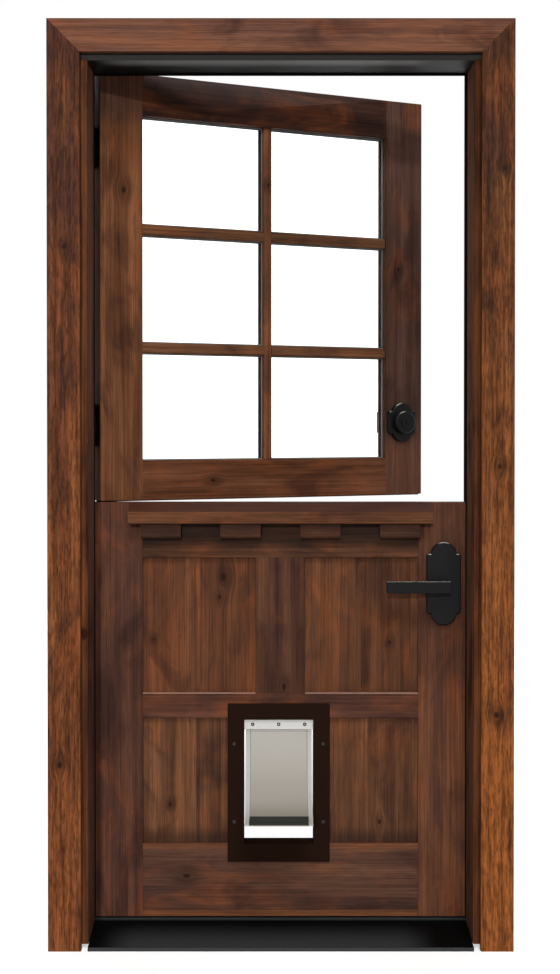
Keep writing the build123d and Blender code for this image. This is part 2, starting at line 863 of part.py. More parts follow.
def make_lever_set():
    """Two plates and levers on one spindle, with the latch that they draw back."""
    bore = neck_radius + turn_clearance
    for name, inside in (("lever_plate_outside", False), ("lever_plate_inside", True)):
        plate = bored_plate(
            lower, u_spindle, lever_height, inside, lever_plate_height, lever_plate_rise,
            lever_plate_lift, bore
        )
        save(plate, name)
    save(lever_side(False, True), "lever_outside")
    save(lever_side(True, False), "lever_inside")
    save(lock_case(lower, lever_height, latch_height), "latch_case")
    tip = u_end + latch_reach
    with BuildPart() as latch:
        with BuildSketch(lower.offset(lever_height - latch_height / 2)):
            with BuildLine():
                Polyline(
                    (tip - bolt_length, v_middle - bolt_width / 2), (u_end, v_middle - bolt_width / 2),
                    (tip, v_middle + bolt_width / 2 - edge_ease), (tip, v_middle + bolt_width / 2),
                    (tip - bolt_length, v_middle + bolt_width / 2), close=True,
                )
            make_face()
        extrude(amount=latch_height)
    save(latch.part, "latch_bolt")


def make_deadbolt():
    """Keyed rose outside, turn inside, and the square bolt between them."""
    plane = face_plane(upper, u_spindle, v_front, deadbolt_height, False)
    with BuildPart() as rose:
        add(lock_plate(plane, deadbolt_plate_height, deadbolt_plate_rise))
        with Locations(plane.offset(lock_plate_thickness)):
            Cone(
                collar_radius, collar_radius - collar_draw, collar_height,
                align=(Align.CENTER, Align.CENTER, Align.MIN),
            )
        rim = rose.faces().sort_by(Axis(plane.origin, plane.z_dir))[-1]
        chamfer(rim.edges(), plate_chamfer)
        with BuildSketch(plane):
            Circle(plug_radius)
        extrude(amount=lock_plate_thickness + collar_height, mode=Mode.SUBTRACT)
    save(rose.part, "deadbolt_rose")
    reach = lock_plate_thickness + collar_height + plug_height
    with BuildPart() as plug:
        with BuildSketch(plane):
            Circle(plug_radius)
        extrude(amount=reach)
        with BuildSketch(plane.offset(reach)):
            Rectangle(key_slot[0], key_slot[1])
        extrude(amount=-key_slot_depth, mode=Mode.SUBTRACT)
    save(plug.part, "deadbolt_cylinder")
    bore = neck_radius + turn_clearance
    inside_plate = bored_plate(
        upper, u_spindle, deadbolt_height, True, deadbolt_plate_height, deadbolt_plate_rise, 0, bore
    )
    save(inside_plate, "deadbolt_plate_inside")
    back = face_plane(upper, u_spindle, v_back, deadbolt_height, True)
    with BuildPart() as turn:
        with BuildSketch(back):
            Circle(neck_radius)
        extrude(amount=lock_plate_thickness + plate_chamfer)
        with BuildSketch(back.offset(lock_plate_thickness + plate_chamfer)):
            SlotOverall(turn_length, turn_width, rotation=90)
        extrude(amount=turn_height)
        grip = turn.faces().sort_by(Axis(back.origin, back.z_dir))[-1]
        chamfer(grip.edges(), plate_chamfer)
        with BuildSketch(back):
            Circle(spindle_radius)
        extrude(amount=soft_gap - leaf_thickness)
    save(turn.part, "thumbturn")
    save(lock_case(upper, deadbolt_height, bolt_height), "deadbolt_case")
    with BuildPart(upper) as bolt:
        box_at(
            (u_end - bolt_length, v_middle - bolt_width / 2, deadbolt_height - bolt_height / 2),
            (u_end, v_middle + bolt_width / 2, deadbolt_height + bolt_height / 2),
        )
    save(bolt.part, "deadbolt_bolt")


def make_tie_bolt():
    """Barrel bolt on the upper leaf and its keeper on the lower one, both inside."""
    u = u_end - tie_bolt_inset
    v_plate = v_back + tie_plate_thickness
    v_rod = v_plate + tie_guide_size[1] / 2
    foot = upper_bottom + tie_rest_lift
    with BuildPart(upper) as body:
        box_at(
            (u - tie_plate_width / 2, v_back, foot),
            (u + tie_plate_width / 2, v_plate, foot + tie_plate_height),
        )
        for height in (tie_guide_low, tie_guide_high):
            box_at(
                (u - tie_guide_size[0] / 2, v_plate, foot + height - tie_guide_size[2] / 2),
                (u + tie_guide_size[0] / 2, v_plate + tie_guide_size[1],
                 foot + height + tie_guide_size[2] / 2),
            )
        with Locations((u, v_rod, foot + tie_plate_height / 2)):
            Cylinder(tie_rod_radius + tie_bore_gap, tie_plate_height, mode=Mode.SUBTRACT)
    save(body.part, "tie_bolt_body")
    with BuildPart(upper) as rod:
        with Locations((u, v_rod, foot)):
            Cylinder(tie_rod_radius, tie_rod_length, align=(Align.CENTER, Align.CENTER, Align.MIN))
        with Locations((u, v_rod + tie_knob_length / 2, foot + tie_knob_height)):
            Cylinder(tie_knob_radius, tie_knob_length, rotation=(90, 0, 0))
        knob_end = rod.faces().sort_by(Axis(upper.origin, upper.y_dir))[-1]
        chamfer(knob_end.edges(), edge_ease)
    save(rod.part, "tie_bolt_rod")
    top = lower_top - keeper_drop
    with BuildPart(lower) as keeper:
        box_at(
            (u - tie_plate_width / 2, v_back, top - keeper_height),
            (u + tie_plate_width / 2, v_plate, top),
        )
        box_at(
            (u - tie_guide_size[0] / 2, v_plate, top - keeper_height + edge_ease),
            (u + tie_guide_size[0] / 2, v_plate + tie_guide_size[1], top - edge_ease),
        )
        with Locations((u, v_rod, top - keeper_height / 2)):
            Cylinder(tie_rod_radius + tie_bore_gap, keeper_height, mode=Mode.SUBTRACT)
    save(keeper.part, "tie_bolt_keeper")


def make_leaf_seals():
    """Sweep under the lower leaf and a soft strip where the two leaves meet."""
    with BuildPart(lower) as sweep:
        box_at(
            (u_start + edge_ease, v_panel_front, sill_height + soft_gap),
            (u_end - edge_ease, v_panel_back, lower_bottom),
        )
    save(sweep.part, "door_sweep")
    with BuildPart(upper) as strip:
        box_at(
            (u_start + edge_ease, v_panel_front, lower_top + soft_gap),
            (u_end - edge_ease, v_panel_back, upper_bottom),
        )
    save(strip.part, "meeting_seal")


def pet_flange(v_span, screws):
    """A flat ring round the pet door, with countersunk screw holes when asked."""
    centre_z = pet_flange_bottom + pet_flange_height / 2
    opening_z = pet_opening_bottom + pet_opening_height / 2
    plane = face_plane(lower, u_pet, v_span[1], centre_z, False)
    with BuildPart() as ring:
        with BuildSketch(plane):
            RectangleRounded(pet_flange_width, pet_flange_height, flange_corner)
        extrude(amount=v_span[1] - v_span[0])
        outer = ring.faces().sort_by(Axis(plane.origin, plane.z_dir))[-1 if screws else 0]
        chamfer(outer.edges(), edge_ease)
        with BuildSketch(plane):
            with Locations((0, opening_z - centre_z)):
                Rectangle(pet_opening_width, pet_opening_height)
        extrude(amount=v_span[1] - v_span[0], mode=Mode.SUBTRACT)
        if screws:
            with Locations(plane.offset(v_span[1] - v_span[0])):
                with GridLocations(*pet_screw_span, 2, 2):
                    CounterSinkHole(pet_screw_radius, pet_screw_sink)
    return ring.part


def tunnel(v_span):
    """Four thin walls through the leaf, round the pet door's opening."""
    half = pet_opening_width / 2
    low, high = pet_opening_bottom, pet_opening_bottom + pet_opening_height
    with BuildPart(lower) as sleeve:
        box_at(
            (u_pet - half - tunnel_wall, v_span[0], low - tunnel_wall),
            (u_pet + half + tunnel_wall, v_span[1], high + tunnel_wall),
        )
        box_at((u_pet - half, v_span[0], low), (u_pet + half, v_span[1], high), Mode.SUBTRACT)
    return sleeve.part


def make_pet_door():
    """Two framed flanges with sleeves, a clamp bar and a curved soft flap with a magnet."""
    with BuildPart() as outside:
        add(pet_flange((v_front - pet_flange_thickness, v_front), True))
        add(tunnel((v_front, v_middle)))
    save(outside.part, "pet_frame_outside")
    with BuildPart() as inside:
        add(pet_flange((v_back, v_back + inside_flange_thickness), False))
        add(tunnel((v_middle, v_back)))
    save(inside.part, "pet_frame_inside")

    top = pet_opening_bottom + pet_opening_height
    clamp_low = top - clamp_height
    half = pet_opening_width / 2 - clamp_side_gap / 2
    with BuildPart(lower) as clamp:
        box_at(
            (u_pet - half, v_front - edge_ease, clamp_low),
            (u_pet + half, v_front - edge_ease + clamp_thickness, top),
        )
    save(clamp.part, "flap_clamp")

    # The flap hangs from a bead under the clamp and curls outwards in an arc
    bead_y = hinge_y + v_front - edge_ease + clamp_thickness / 2
    bead_z = clamp_low - flap_bead_radius - soft_gap
    centre = (bead_y - flap_bend_radius, bead_z)
    inner_radius = flap_bend_radius - flap_thickness / 2
    outer_radius = flap_bend_radius + flap_thickness / 2

    def sector(x, inner, outer, start, end, length):
        with BuildSketch(Plane.YZ.offset(x)) as shape:
            with BuildLine():
                first = CenterArc(centre, outer, -start, start - end)
                second = CenterArc(centre, inner, -start, start - end)
                Line(first @ 0, second @ 0)
                Line(first @ 1, second @ 1)
            make_face()
        return extrude(shape.sketch, amount=length, mode=Mode.PRIVATE)

    left = pet_centre - flap_width / 2
    with BuildPart() as flap:
        add(sector(left, inner_radius, outer_radius, 0, flap_bend, flap_width))
        for place in flap_rib_places:
            for x in (left + place, left + flap_width - place - flap_rib_width):
                add(sector(x, inner_radius - flap_rib_height, inner_radius + flap_thickness / 3,
                           flap_rib_height, flap_bend, flap_rib_width))
        with BuildSketch(Plane.YZ.offset(left)):
            with Locations((bead_y, bead_z)):
                Circle(flap_bead_radius)
        extrude(amount=flap_width)
    save(flap.part, "pet_flap")
    with BuildPart() as magnet:
        edge = flap_rib_places[1] + flap_rib_width + magnet_side_gap
        add(sector(left + edge, inner_radius - magnet_thickness, inner_radius,
                   flap_bend - magnet_bend, flap_bend, flap_width - 2 * edge))
    save(magnet.part, "flap_magnet")


make_casing()
make_jambs()
make_head_liner()
make_weatherstrip()
make_sill()
make_hinges()
make_lower_leaf()
make_shelf()
make_upper_leaf()
make_lever_set()
make_deadbolt()
make_tie_bolt()
make_leaf_seals()
make_pet_door()
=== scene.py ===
import json
from math import pi, radians

import bpy
from mathutils import Matrix, Vector


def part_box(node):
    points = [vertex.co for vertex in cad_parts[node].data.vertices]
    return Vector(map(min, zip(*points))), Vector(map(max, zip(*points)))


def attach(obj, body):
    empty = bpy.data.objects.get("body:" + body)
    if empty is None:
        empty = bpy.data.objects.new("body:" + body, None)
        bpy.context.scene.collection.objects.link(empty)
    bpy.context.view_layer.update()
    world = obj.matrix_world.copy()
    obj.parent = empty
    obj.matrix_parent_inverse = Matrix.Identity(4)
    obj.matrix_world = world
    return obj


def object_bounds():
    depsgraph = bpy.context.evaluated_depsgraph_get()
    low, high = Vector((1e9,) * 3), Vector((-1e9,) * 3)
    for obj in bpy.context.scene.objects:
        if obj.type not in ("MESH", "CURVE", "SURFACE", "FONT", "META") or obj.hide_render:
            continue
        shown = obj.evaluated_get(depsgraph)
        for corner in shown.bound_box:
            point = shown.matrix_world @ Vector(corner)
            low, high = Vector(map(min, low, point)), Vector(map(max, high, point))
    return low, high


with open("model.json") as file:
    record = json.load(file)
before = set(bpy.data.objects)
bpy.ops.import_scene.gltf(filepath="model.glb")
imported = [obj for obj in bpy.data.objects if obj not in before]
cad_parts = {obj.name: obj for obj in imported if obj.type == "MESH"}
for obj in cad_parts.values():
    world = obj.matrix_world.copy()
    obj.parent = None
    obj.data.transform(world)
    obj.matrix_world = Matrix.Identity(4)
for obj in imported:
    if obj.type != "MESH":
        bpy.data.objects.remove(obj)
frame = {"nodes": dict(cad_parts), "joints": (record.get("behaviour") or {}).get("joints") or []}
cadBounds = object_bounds()
nodes = frame["nodes"]
joints = {joint["name"]: joint for joint in frame["joints"]}
print("frame loaded")

mm = 0.001  # every size below is written in millimetres and turned to metres

# The leaves' own axes: u from the hinge pin to the lock edge, v into the house, z up
pinPlace = Vector((joints["upper_swing"]["pos_m"][0], joints["upper_swing"]["pos_m"][1], 0))
ajarAngle = -joints["upper_swing"]["range_deg"][0]
lowerLeafAxes = Matrix.Translation(pinPlace)
upperLeafAxes = Matrix.Translation(pinPlace) @ Matrix.Rotation(radians(ajarAngle), 4, "Z")
frameAxes = Matrix.Identity(4)


def ownBox(nodeName, axes):
    # lowest and highest corner of a node in the leaf's own axes
    back = axes.inverted()
    points = [back @ vertex.co for vertex in nodes[nodeName].data.vertices]
    low = Vector([min(point[i] for point in points) for i in range(3)])
    high = Vector([max(point[i] for point in points) for i in range(3)])
    return low, high


def metres(sizes):
    return [size * mm for size in sizes]


def linearColour(hexColour):
    # sRGB hex to linear, with full alpha
    channels = [int(hexColour[i:i + 2], 16) / 255 for i in (1, 3, 5)]
    return [c / 12.92 if c <= 0.04045 else ((c + 0.055) / 1.055) ** 2.4 for c in channels] + [1]


def addNode(tree, kind, settings=None, links=None):
    # one node with its settings, among which a hex colour is turned to linear, and what feeds it
    node = tree.nodes.new(kind)
    for key, value in (settings or {}).items():
        if isinstance(value, str) and value.startswith("#"):
            value = linearColour(value)
        if isinstance(key, str) and hasattr(node, key):
            setattr(node, key, value)
        else:
            node.inputs[key].default_value = value
    for key, source in (links or {}).items():
        tree.links.new(source, node.inputs[key])
    return node


def newMaterial(name, finish):
    # the finish holds what is the same all over the surface
    material = bpy.data.materials.new(name)
    material.use_nodes = True
    tree = material.node_tree
    tree.nodes.clear()
    shader = addNode(tree, "ShaderNodeBsdfPrincipled", finish)
    addNode(tree, "ShaderNodeOutputMaterial", links={"Surface": shader.outputs["BSDF"]})
    return material, tree, shader


def joinMasks(tree, how, masks):
    # MULTIPLY keeps what all the masks hold, and MAXIMUM what any of them holds
    joined = masks[0]
    for mask in masks[1:]:
        joined = addNode(tree, "ShaderNodeMath", {"operation": how}, {0: joined, 1: mask}).outputs["Value"]
    return joined


def fadeMask(tree, strength, fades, smooth=False):
    # one mask from fades that all have to hold: each has a value, where it is nothing and where full
    shape = "SMOOTHSTEP" if smooth else "LINEAR"
    masks = []
    for value, nothingAt, fullAt in fades:
        fade = addNode(tree, "ShaderNodeMapRange",
                       {"interpolation_type": shape, "From Min": nothingAt, "From Max": fullAt,
                        "To Max": 1.0 if masks else strength}, {"Value": value})
        masks.append(fade.outputs["Result"])
    return joinMasks(tree, "MULTIPLY", masks)


def layTones(tree, colour, layers):
    # each tone covers what is under it as far as its mask says; the lowest may be a plain hex colour.
    # A colour mix has its factor at socket 0, the two colours at 6 and 7, and its result at 2
    for tone, mask in layers:
        settings = {"data_type": "RGBA", 7: tone}
        links = {0: mask}
        if isinstance(colour, str):
            settings[6] = colour
        else:
            links[6] = colour
        colour = addNode(tree, "ShaderNodeMix", settings, links).outputs[2]
    return colour


def paint(nodeName, material):
    # the node's own slots take the material
    mesh = nodes[nodeName].data
    if not mesh.materials:
        mesh.materials.append(material)
    for slotNumber in range(len(mesh.materials)):
        mesh.materials[slotNumber] = material


# Sanded and moulded edges: how near points are welded, in mm, from what angle an edge is eased, in
# how many steps, and how wide on the timber, in mm
edgeLook = {"weld": 0.01, "angle": 35, "segments": 2, "timber": 1.0}


def easeEdges(nodeName, width):
    # the loose triangles are welded, then bevelled
    weld = nodes[nodeName].modifiers.new("weld", "WELD")
    weld.merge_threshold = edgeLook["weld"] * mm
    bevel = nodes[nodeName].modifiers.new("easedEdges", "BEVEL")
    bevel.width = width * mm
    bevel.segments = edgeLook["segments"]
    bevel.limit_method = "ANGLE"
    bevel.angle_limit = radians(edgeLook["angle"])
    bevel.use_clamp_overlap = True


# Knotty alder, stained dark and sealed with a satin lacquer: long fine growth lines, broad soft
# stain blotches that run from purple-brown to orange, a few knots that the grain flows round.
# A size is across and along the grain in mm, and a fade is between two values of a pattern's noise
woodGrain = {
    "figureSize": (30, 620),  # broad streaks
    "lineSize": (3.6, 460),  # growth lines, drawn coarser than real so that they show
    "poreSize": (2.4, 60),  # pores, drawn coarser than real so that they show
    "blotchSize": (100, 220),
    "streakStops": (0.28, 0.5, 0.72), "warmFade": (0.5, 0.7), "darkFade": (0.5, 0.32),
    "lineFade": (0.36, 0.6), "lineDepth": 0.3, "poreDepth": 0.18, "blotchDepth": 0.62, "warmth": 0.35,
    "stainDark": "#2e1b17", "stainWarm": "#8a4a26", "toneDepth": 0.75, "arrisDepth": 0.85, "arrisSoft": 1,
    "seedStep": (0.37, 0.53, 0.71), "staveTones": (0.88, 1.1),
    "roughness": 0.5, "sheen": 0.05, "bump": 0.05, "relief": 0.6,
}
# The flat-sawn casing boards have a coarser, open grain
openGrain = {"lineSize": (6.2, 260), "poreSize": (4.2, 26), "lineDepth": 0.46, "poreDepth": 0.42}
# Each pattern of the timber: its size, how its noise is drawn, and how far off the noise is read
woodPatterns = {
    "figure": ("figureSize", {"Detail": 2, "Roughness": 0.5, "Distortion": 0.3}, 0),
    "lines": ("lineSize", {"Detail": 3, "Roughness": 0.7}, 0),
    "pores": ("poreSize", {"Detail": 2, "Roughness": 0.6}, 0),
    "blotch": ("blotchSize", {"Detail": 3, "Roughness": 0.55, "Distortion": 1.2}, 0),
    "warm": ("blotchSize", {"Detail": 3, "Roughness": 0.55, "Distortion": 1.2}, 7.3),
}
# A knot: its length for its width, and the zones where the grain bends, its dark heart and the halo
# round it, each from where it starts to where it is full, in radii of the knot, and its strength
knotLook = {"length": 1.5, "tone": "#1a0d08",
            "zones": ((5.5, 0.4, 0.85), (1.4, 0.5, 0.88), (5.5, 0.8, 0.42))}


def acrossAlong(grain, size):
    # a scale for each axis, with the grain along x or z
    fine, long = (1 / length for length in metres(size))
    return (long, fine, fine) if grain == "x" else (fine, fine, long)


def timberPlace(tree, turned):
    # the upper leaf stands ajar, so its boards are read in the leaf's own axes
    place = addNode(tree, "ShaderNodeTexCoord").outputs["Object"]
    if not turned:
        return place
    shifted = addNode(tree, "ShaderNodeVectorMath", {"operation": "SUBTRACT", 1: pinPlace}, {0: place})
    return addNode(tree, "ShaderNodeVectorRotate",
                   {"rotation_type": "Z_AXIS", "Angle": -radians(ajarAngle)},
                   {"Vector": shifted.outputs["Vector"]}).outputs["Vector"]


def bendRoundKnots(tree, board, ownPlace):
    # the grain bends round each knot, which is dark at its heart
    place = ownPlace
    knotMasks = []
    acrossAxis = (0, 0, 1) if board["grain"] == "x" else (1, 0, 0)
    for across, height, radius in board.get("knots", ()):
        stretch = acrossAlong(board["grain"], (radius, radius * knotLook["length"]))
        away = addNode(tree, "ShaderNodeVectorMath",
                       {"operation": "SUBTRACT", 1: metres((across, 0, height))},
                       {0: ownPlace}).outputs["Vector"]
        scaled = addNode(tree, "ShaderNodeVectorMath",
                         {"operation": "MULTIPLY", 1: (stretch[0], 0, stretch[2])}, {0: away})
        distance = addNode(tree, "ShaderNodeVectorMath", {"operation": "LENGTH"},
                           {0: scaled.outputs["Vector"]}).outputs["Value"]
        bend, heart, halo = (fadeMask(tree, strength, [(distance, far, near)], smooth=True)
                             for far, near, strength in knotLook["zones"])
        sideways = addNode(tree, "ShaderNodeVectorMath", {"operation": "MULTIPLY", 1: acrossAxis},
                           {0: away})
        bent = addNode(tree, "ShaderNodeVectorMath", {"operation": "SCALE"},
                       {0: sideways.outputs["Vector"], "Scale": bend})
        place = addNode(tree, "ShaderNodeVectorMath", {"operation": "SUBTRACT"},
                        {0: place, 1: bent.outputs["Vector"]}).outputs["Vector"]
        knotMasks += [heart, halo]
    return place, knotMasks


def cutFromTree(tree, board, place, acrossBoard):
    # each board, and each stave of a glued panel, is cut from another part of the tree
    cut = [board["seed"] * step for step in board["seedStep"]]
    place = addNode(tree, "ShaderNodeVectorMath", {"operation": "ADD", 1: cut},
                    {0: place}).outputs["Vector"]
    if "staveWidth" not in board:
        return place, []
    count = addNode(tree, "ShaderNodeMath",
                    {"operation": "MULTIPLY_ADD", 1: 1 / (board["staveWidth"] * mm),
                     2: -board["staveStart"] / board["staveWidth"]}, {0: acrossBoard})
    stave = addNode(tree, "ShaderNodeMath", {"operation": "FLOOR"}, {0: count.outputs["Value"]})
    chance = addNode(tree, "ShaderNodeTexWhiteNoise", {"noise_dimensions": "1D"},
                     {"W": stave.outputs["Value"]})
    place = addNode(tree, "ShaderNodeVectorMath", {"operation": "ADD"},
                    {0: place, 1: chance.outputs["Color"]}).outputs["Vector"]
    darkest, lightest = board["staveTones"]
    tone = addNode(tree, "ShaderNodeMapRange", {"To Min": darkest, "To Max": lightest},
                   {"Value": chance.outputs["Value"]})
    return place, [tone.outputs["Result"]]


def drawPatterns(tree, board, place):
    # the noise of each pattern, drawn out along the grain
    patterns = {}
    for pattern, (sizeName, drawing, shift) in woodPatterns.items():
        scaled = addNode(tree, "ShaderNodeVectorMath",
                         {"operation": "MULTIPLY_ADD", 1: acrossAlong(board["grain"], board[sizeName]),
                          2: (shift, shift, shift)}, {0: place})
        noise = addNode(tree, "ShaderNodeTexNoise", {"Scale": 1.0, **drawing},
                        {"Vector": scaled.outputs["Vector"]})
        patterns[pattern] = noise.outputs["Fac"]
    return patterns


def stainAndPaintedLightLayers(tree, board, patterns, parts):
    # the stains, and the painted light and shade, that lie over the streaks, each with where it lies
    layers = []
    if "lowTone" in board:
        # the board gets warmer and paler towards its foot
        foot, top = metres(board["toneSpan"])
        layers.append((board["lowTone"], fadeMask(tree, board["toneDepth"], [(parts["Z"], top, foot)])))
    if "inward" in board:
        # the face in the doorway is painted paler and greyer than the front edge: painted light against its
        # shade
        front, back, tone, depth = board["inward"]
        layers.append((tone, fadeMask(tree, depth, [(parts["Y"], front * mm, back * mm)])))
    warm = fadeMask(tree, board["warmth"], [(patterns["warm"], *board["warmFade"])])
    dark = fadeMask(tree, board["blotchDepth"], [(patterns["blotch"], *board["darkFade"])])
    layers += [(board["stainWarm"], warm), (board["stainDark"], dark)]
    for low, high, soft, tone, depth in board.get("stainAndPaintedLightBands", ()):
        # darker or paler between two heights: on some boards a stain blotch, on others painted shade or a
        # painted highlight
        edge = soft / 2
        rise = (parts["Z"], *metres((low - edge, low + edge)))
        fall = (parts["Z"], *metres((high + edge, high - edge)))
        layers.append((tone, fadeMask(tree, depth, [rise, fall], smooth=True)))
    return layers


def woodMaterial(name, board):
    board = {**woodGrain, **board}
    material, tree, shader = newMaterial(name, {"Roughness": board["roughness"],
                                                "Specular IOR Level": board["sheen"]})
    ownPlace = timberPlace(tree, board["turned"])
    parts = addNode(tree, "ShaderNodeSeparateXYZ", links={0: ownPlace}).outputs
    place, knotMasks = bendRoundKnots(tree, board, ownPlace)
    place, shading = cutFromTree(tree, board, place, parts["X"])
    patterns = drawPatterns(tree, board, place)

    # light and dark streaks, with the stains and the painted light and shade over them
    ramp = addNode(tree, "ShaderNodeValToRGB", links={"Fac": patterns["figure"]})
    stops = ramp.color_ramp.elements
    stops.new(board["streakStops"][1])  # a ramp starts with only two stops
    for stop, position, tone in zip(stops, board["streakStops"], ("dark", "mid", "light")):
        stop.position = position
        stop.color = linearColour(board[tone])
    colour = layTones(tree, ramp.outputs["Color"], stainAndPaintedLightLayers(tree, board, patterns, parts))

    # growth lines and pores darken the wood by their depth and lighten it between them by half of
    # that, and each stave has a tone of its own
    low, high = board["lineFade"]
    grooves = []
    for pattern, depth in (("lines", board["lineDepth"]), ("pores", board["poreDepth"])):
        groove = addNode(tree, "ShaderNodeMapRange", {"From Min": low, "From Max": high,
                                                      "To Min": 1 - depth, "To Max": 1 + depth / 2},
                         {"Value": patterns[pattern]})
        grooves.append(groove.outputs["Result"])
    for shade in grooves + shading:
        colour = addNode(tree, "ShaderNodeVectorMath", {"operation": "SCALE"},
                         {0: colour, "Scale": shade}).outputs["Vector"]
    if knotMasks:
        colour = layTones(tree, colour, [(knotLook["tone"], joinMasks(tree, "MAXIMUM", knotMasks))])
    if "arris" in board:
        # a painted highlight where the light catches the sharp upper edge beside the middle upright
        low, high, beside, tone = board["arris"]
        span = addNode(tree, "ShaderNodeMath", {"operation": "ABSOLUTE"}, {0: parts["X"]}).outputs["Value"]
        onEdge = (parts["Z"], low * mm, high * mm)
        clear = (span, beside * mm, (beside + board["arrisSoft"]) * mm)
        colour = layTones(tree, colour, [(tone, fadeMask(tree, board["arrisDepth"], [onEdge, clear]))])
    tree.links.new(colour, shader.inputs["Base Color"])
    relief = addNode(tree, "ShaderNodeBump", {"Strength": board["bump"], "Distance": board["relief"] * mm},
                     {"Height": patterns["pores"]})
    tree.links.new(relief.outputs["Normal"], shader.inputs["Normal"])
    return material


# Boards of the frame, the lower leaf and the upper leaf, each with its own cut of timber, in mm.
# knots: place to the side, height, radius. stainAndPaintedLightBands: from this height to that, softness,
# tone, strength. inward: depths where a paler, greyer painted light starts and is full, tone, strength.
# arris: heights where the painted highlight starts and is full, how far out it starts to each side, tone
casingBoards = {
    "casing_left": {**openGrain, "grain": "z", "seed": 1,
                    "dark": "#422214", "mid": "#59321d", "light": "#734525",
                    "lowTone": "#7c4726", "toneSpan": (0, 1300),
                    "stainAndPaintedLightBands": ((2030, 2200, 90, "#3a201b", 0.55), (1690, 1860, 90, "#391f19", 0.6)),
                    "knots": ((-497, 1620, 5), (-508, 430, 6))},
    "casing_right": {**openGrain, "grain": "z", "seed": 2,
                     "dark": "#3c2314", "mid": "#522f1b", "light": "#694125",
                     "lowTone": "#905225", "toneSpan": (200, 1800),
                     "knots": ((495, 546, 6), (502, 1116, 5), (512, 1800, 5))},
    "casing_head": {"grain": "x", "seed": 3, "dark": "#4f2f24", "mid": "#674334", "light": "#7a4e38"},
    # the jambs' faces in the doorway take painted light, paler on the lock side where their shade is deeper
    "jamb_hinge_side": {"grain": "z", "seed": 4, "dark": "#3d2315", "mid": "#52311e", "light": "#673e25",
                        "lineDepth": 0.5, "sheen": 0.02, "knots": ((-454, 730, 11),),
                        "inward": (2, 8, "#6f4f41", 0.7)},
    "jamb_lock_side": {"grain": "z", "seed": 5, "dark": "#3d2315", "mid": "#52311e", "light": "#673e25",
                       "lineDepth": 0.5, "sheen": 0.0, "inward": (2, 8, "#7e5d4c", 0.7)},
    # the head jamb is stained near-black as painted shade under the head
    "jamb_head": {"grain": "x", "seed": 6, "sheen": 0.0,
                  "dark": "#180b07", "mid": "#23120d", "light": "#2e1a11"},
    "sill_core": {"grain": "x", "seed": 7, "dark": "#3a2418", "mid": "#4d3122", "light": "#5f3f2c"},
}
lowerBoards = {
    "lower_stile_hinge_side": {"grain": "z", "seed": 8,
                               "dark": "#3b261c", "mid": "#4e3127", "light": "#613d2b"},
    "lower_stile_lock_side": {"grain": "z", "seed": 9,
                              "dark": "#452c21", "mid": "#5c3a2a", "light": "#70462f",
                              "stainAndPaintedLightBands": ((600, 930, 100, "#2c1c18", 0.35),)},
    # painted shade under the shelf, between and below the dentils
    "lower_rail_top": {"grain": "x", "seed": 10, "dark": "#382419", "mid": "#4c301f", "light": "#5c3c2a",
                       "stainAndPaintedLightBands": ((926, 1040, 30, "#191210", 0.72),)},
    # painted highlight along its upper edge
    "lower_rail_middle": {"grain": "x", "seed": 11, "dark": "#38231b", "mid": "#4b2f25", "light": "#5a3a2e",
                          "arris": (568.2, 568.8, 59, "#a88475")},
    # paler bands along its foot and its upper edge: painted highlights where the edges catch the light
    "lower_rail_bottom": {"grain": "x", "seed": 12, "dark": "#3d2923", "mid": "#51362b", "light": "#624333",
                          "stainAndPaintedLightBands": ((24, 48, 8, "#84502f", 0.5), (194, 212, 8, "#7a4a2e", 0.45)),
                          "knots": ((-225, 130, 7),)},
    "lower_mullion": {"grain": "z", "seed": 13, "dark": "#3d241b", "mid": "#4d3023", "light": "#5e3d29",
                      "knots": ((9, 585, 6),)},
    # darker along its sloped top, and painted shade over the dentils under the shelf
    "dentil_shelf": {"grain": "x", "seed": 14, "dark": "#4c2d1d", "mid": "#5f3b26", "light": "#70462d",
                     "stainAndPaintedLightBands": ((1006, 1040, 3, "#402620", 0.7), (930, 978, 3, "#30201a", 0.72))},
    "panel_left": {"grain": "z", "seed": 15, "dark": "#472a1d", "mid": "#5e3925", "light": "#74482e",
                   "staveStart": -340, "staveWidth": 146,
                   "knots": ((-137, 847, 8), (-303, 698, 3), (-146, 800, 5))},
    "panel_right": {"grain": "z", "seed": 16, "dark": "#41271b", "mid": "#563523", "light": "#6b442a",
                    "staveStart": 49, "staveWidth": 132, "knots": ((262, 690, 4),)},
    # painted shade along its foot, against the bottom rail
    "panel_bottom": {"grain": "z", "seed": 17, "dark": "#4a2f21", "mid": "#603e29", "light": "#764d33",
                     "staveStart": -340, "staveWidth": 138, "stainAndPaintedLightBands": ((190, 236, 34, "#241815", 0.6),),
                     "knots": ((-265, 300, 4), (238, 258, 5))},
}
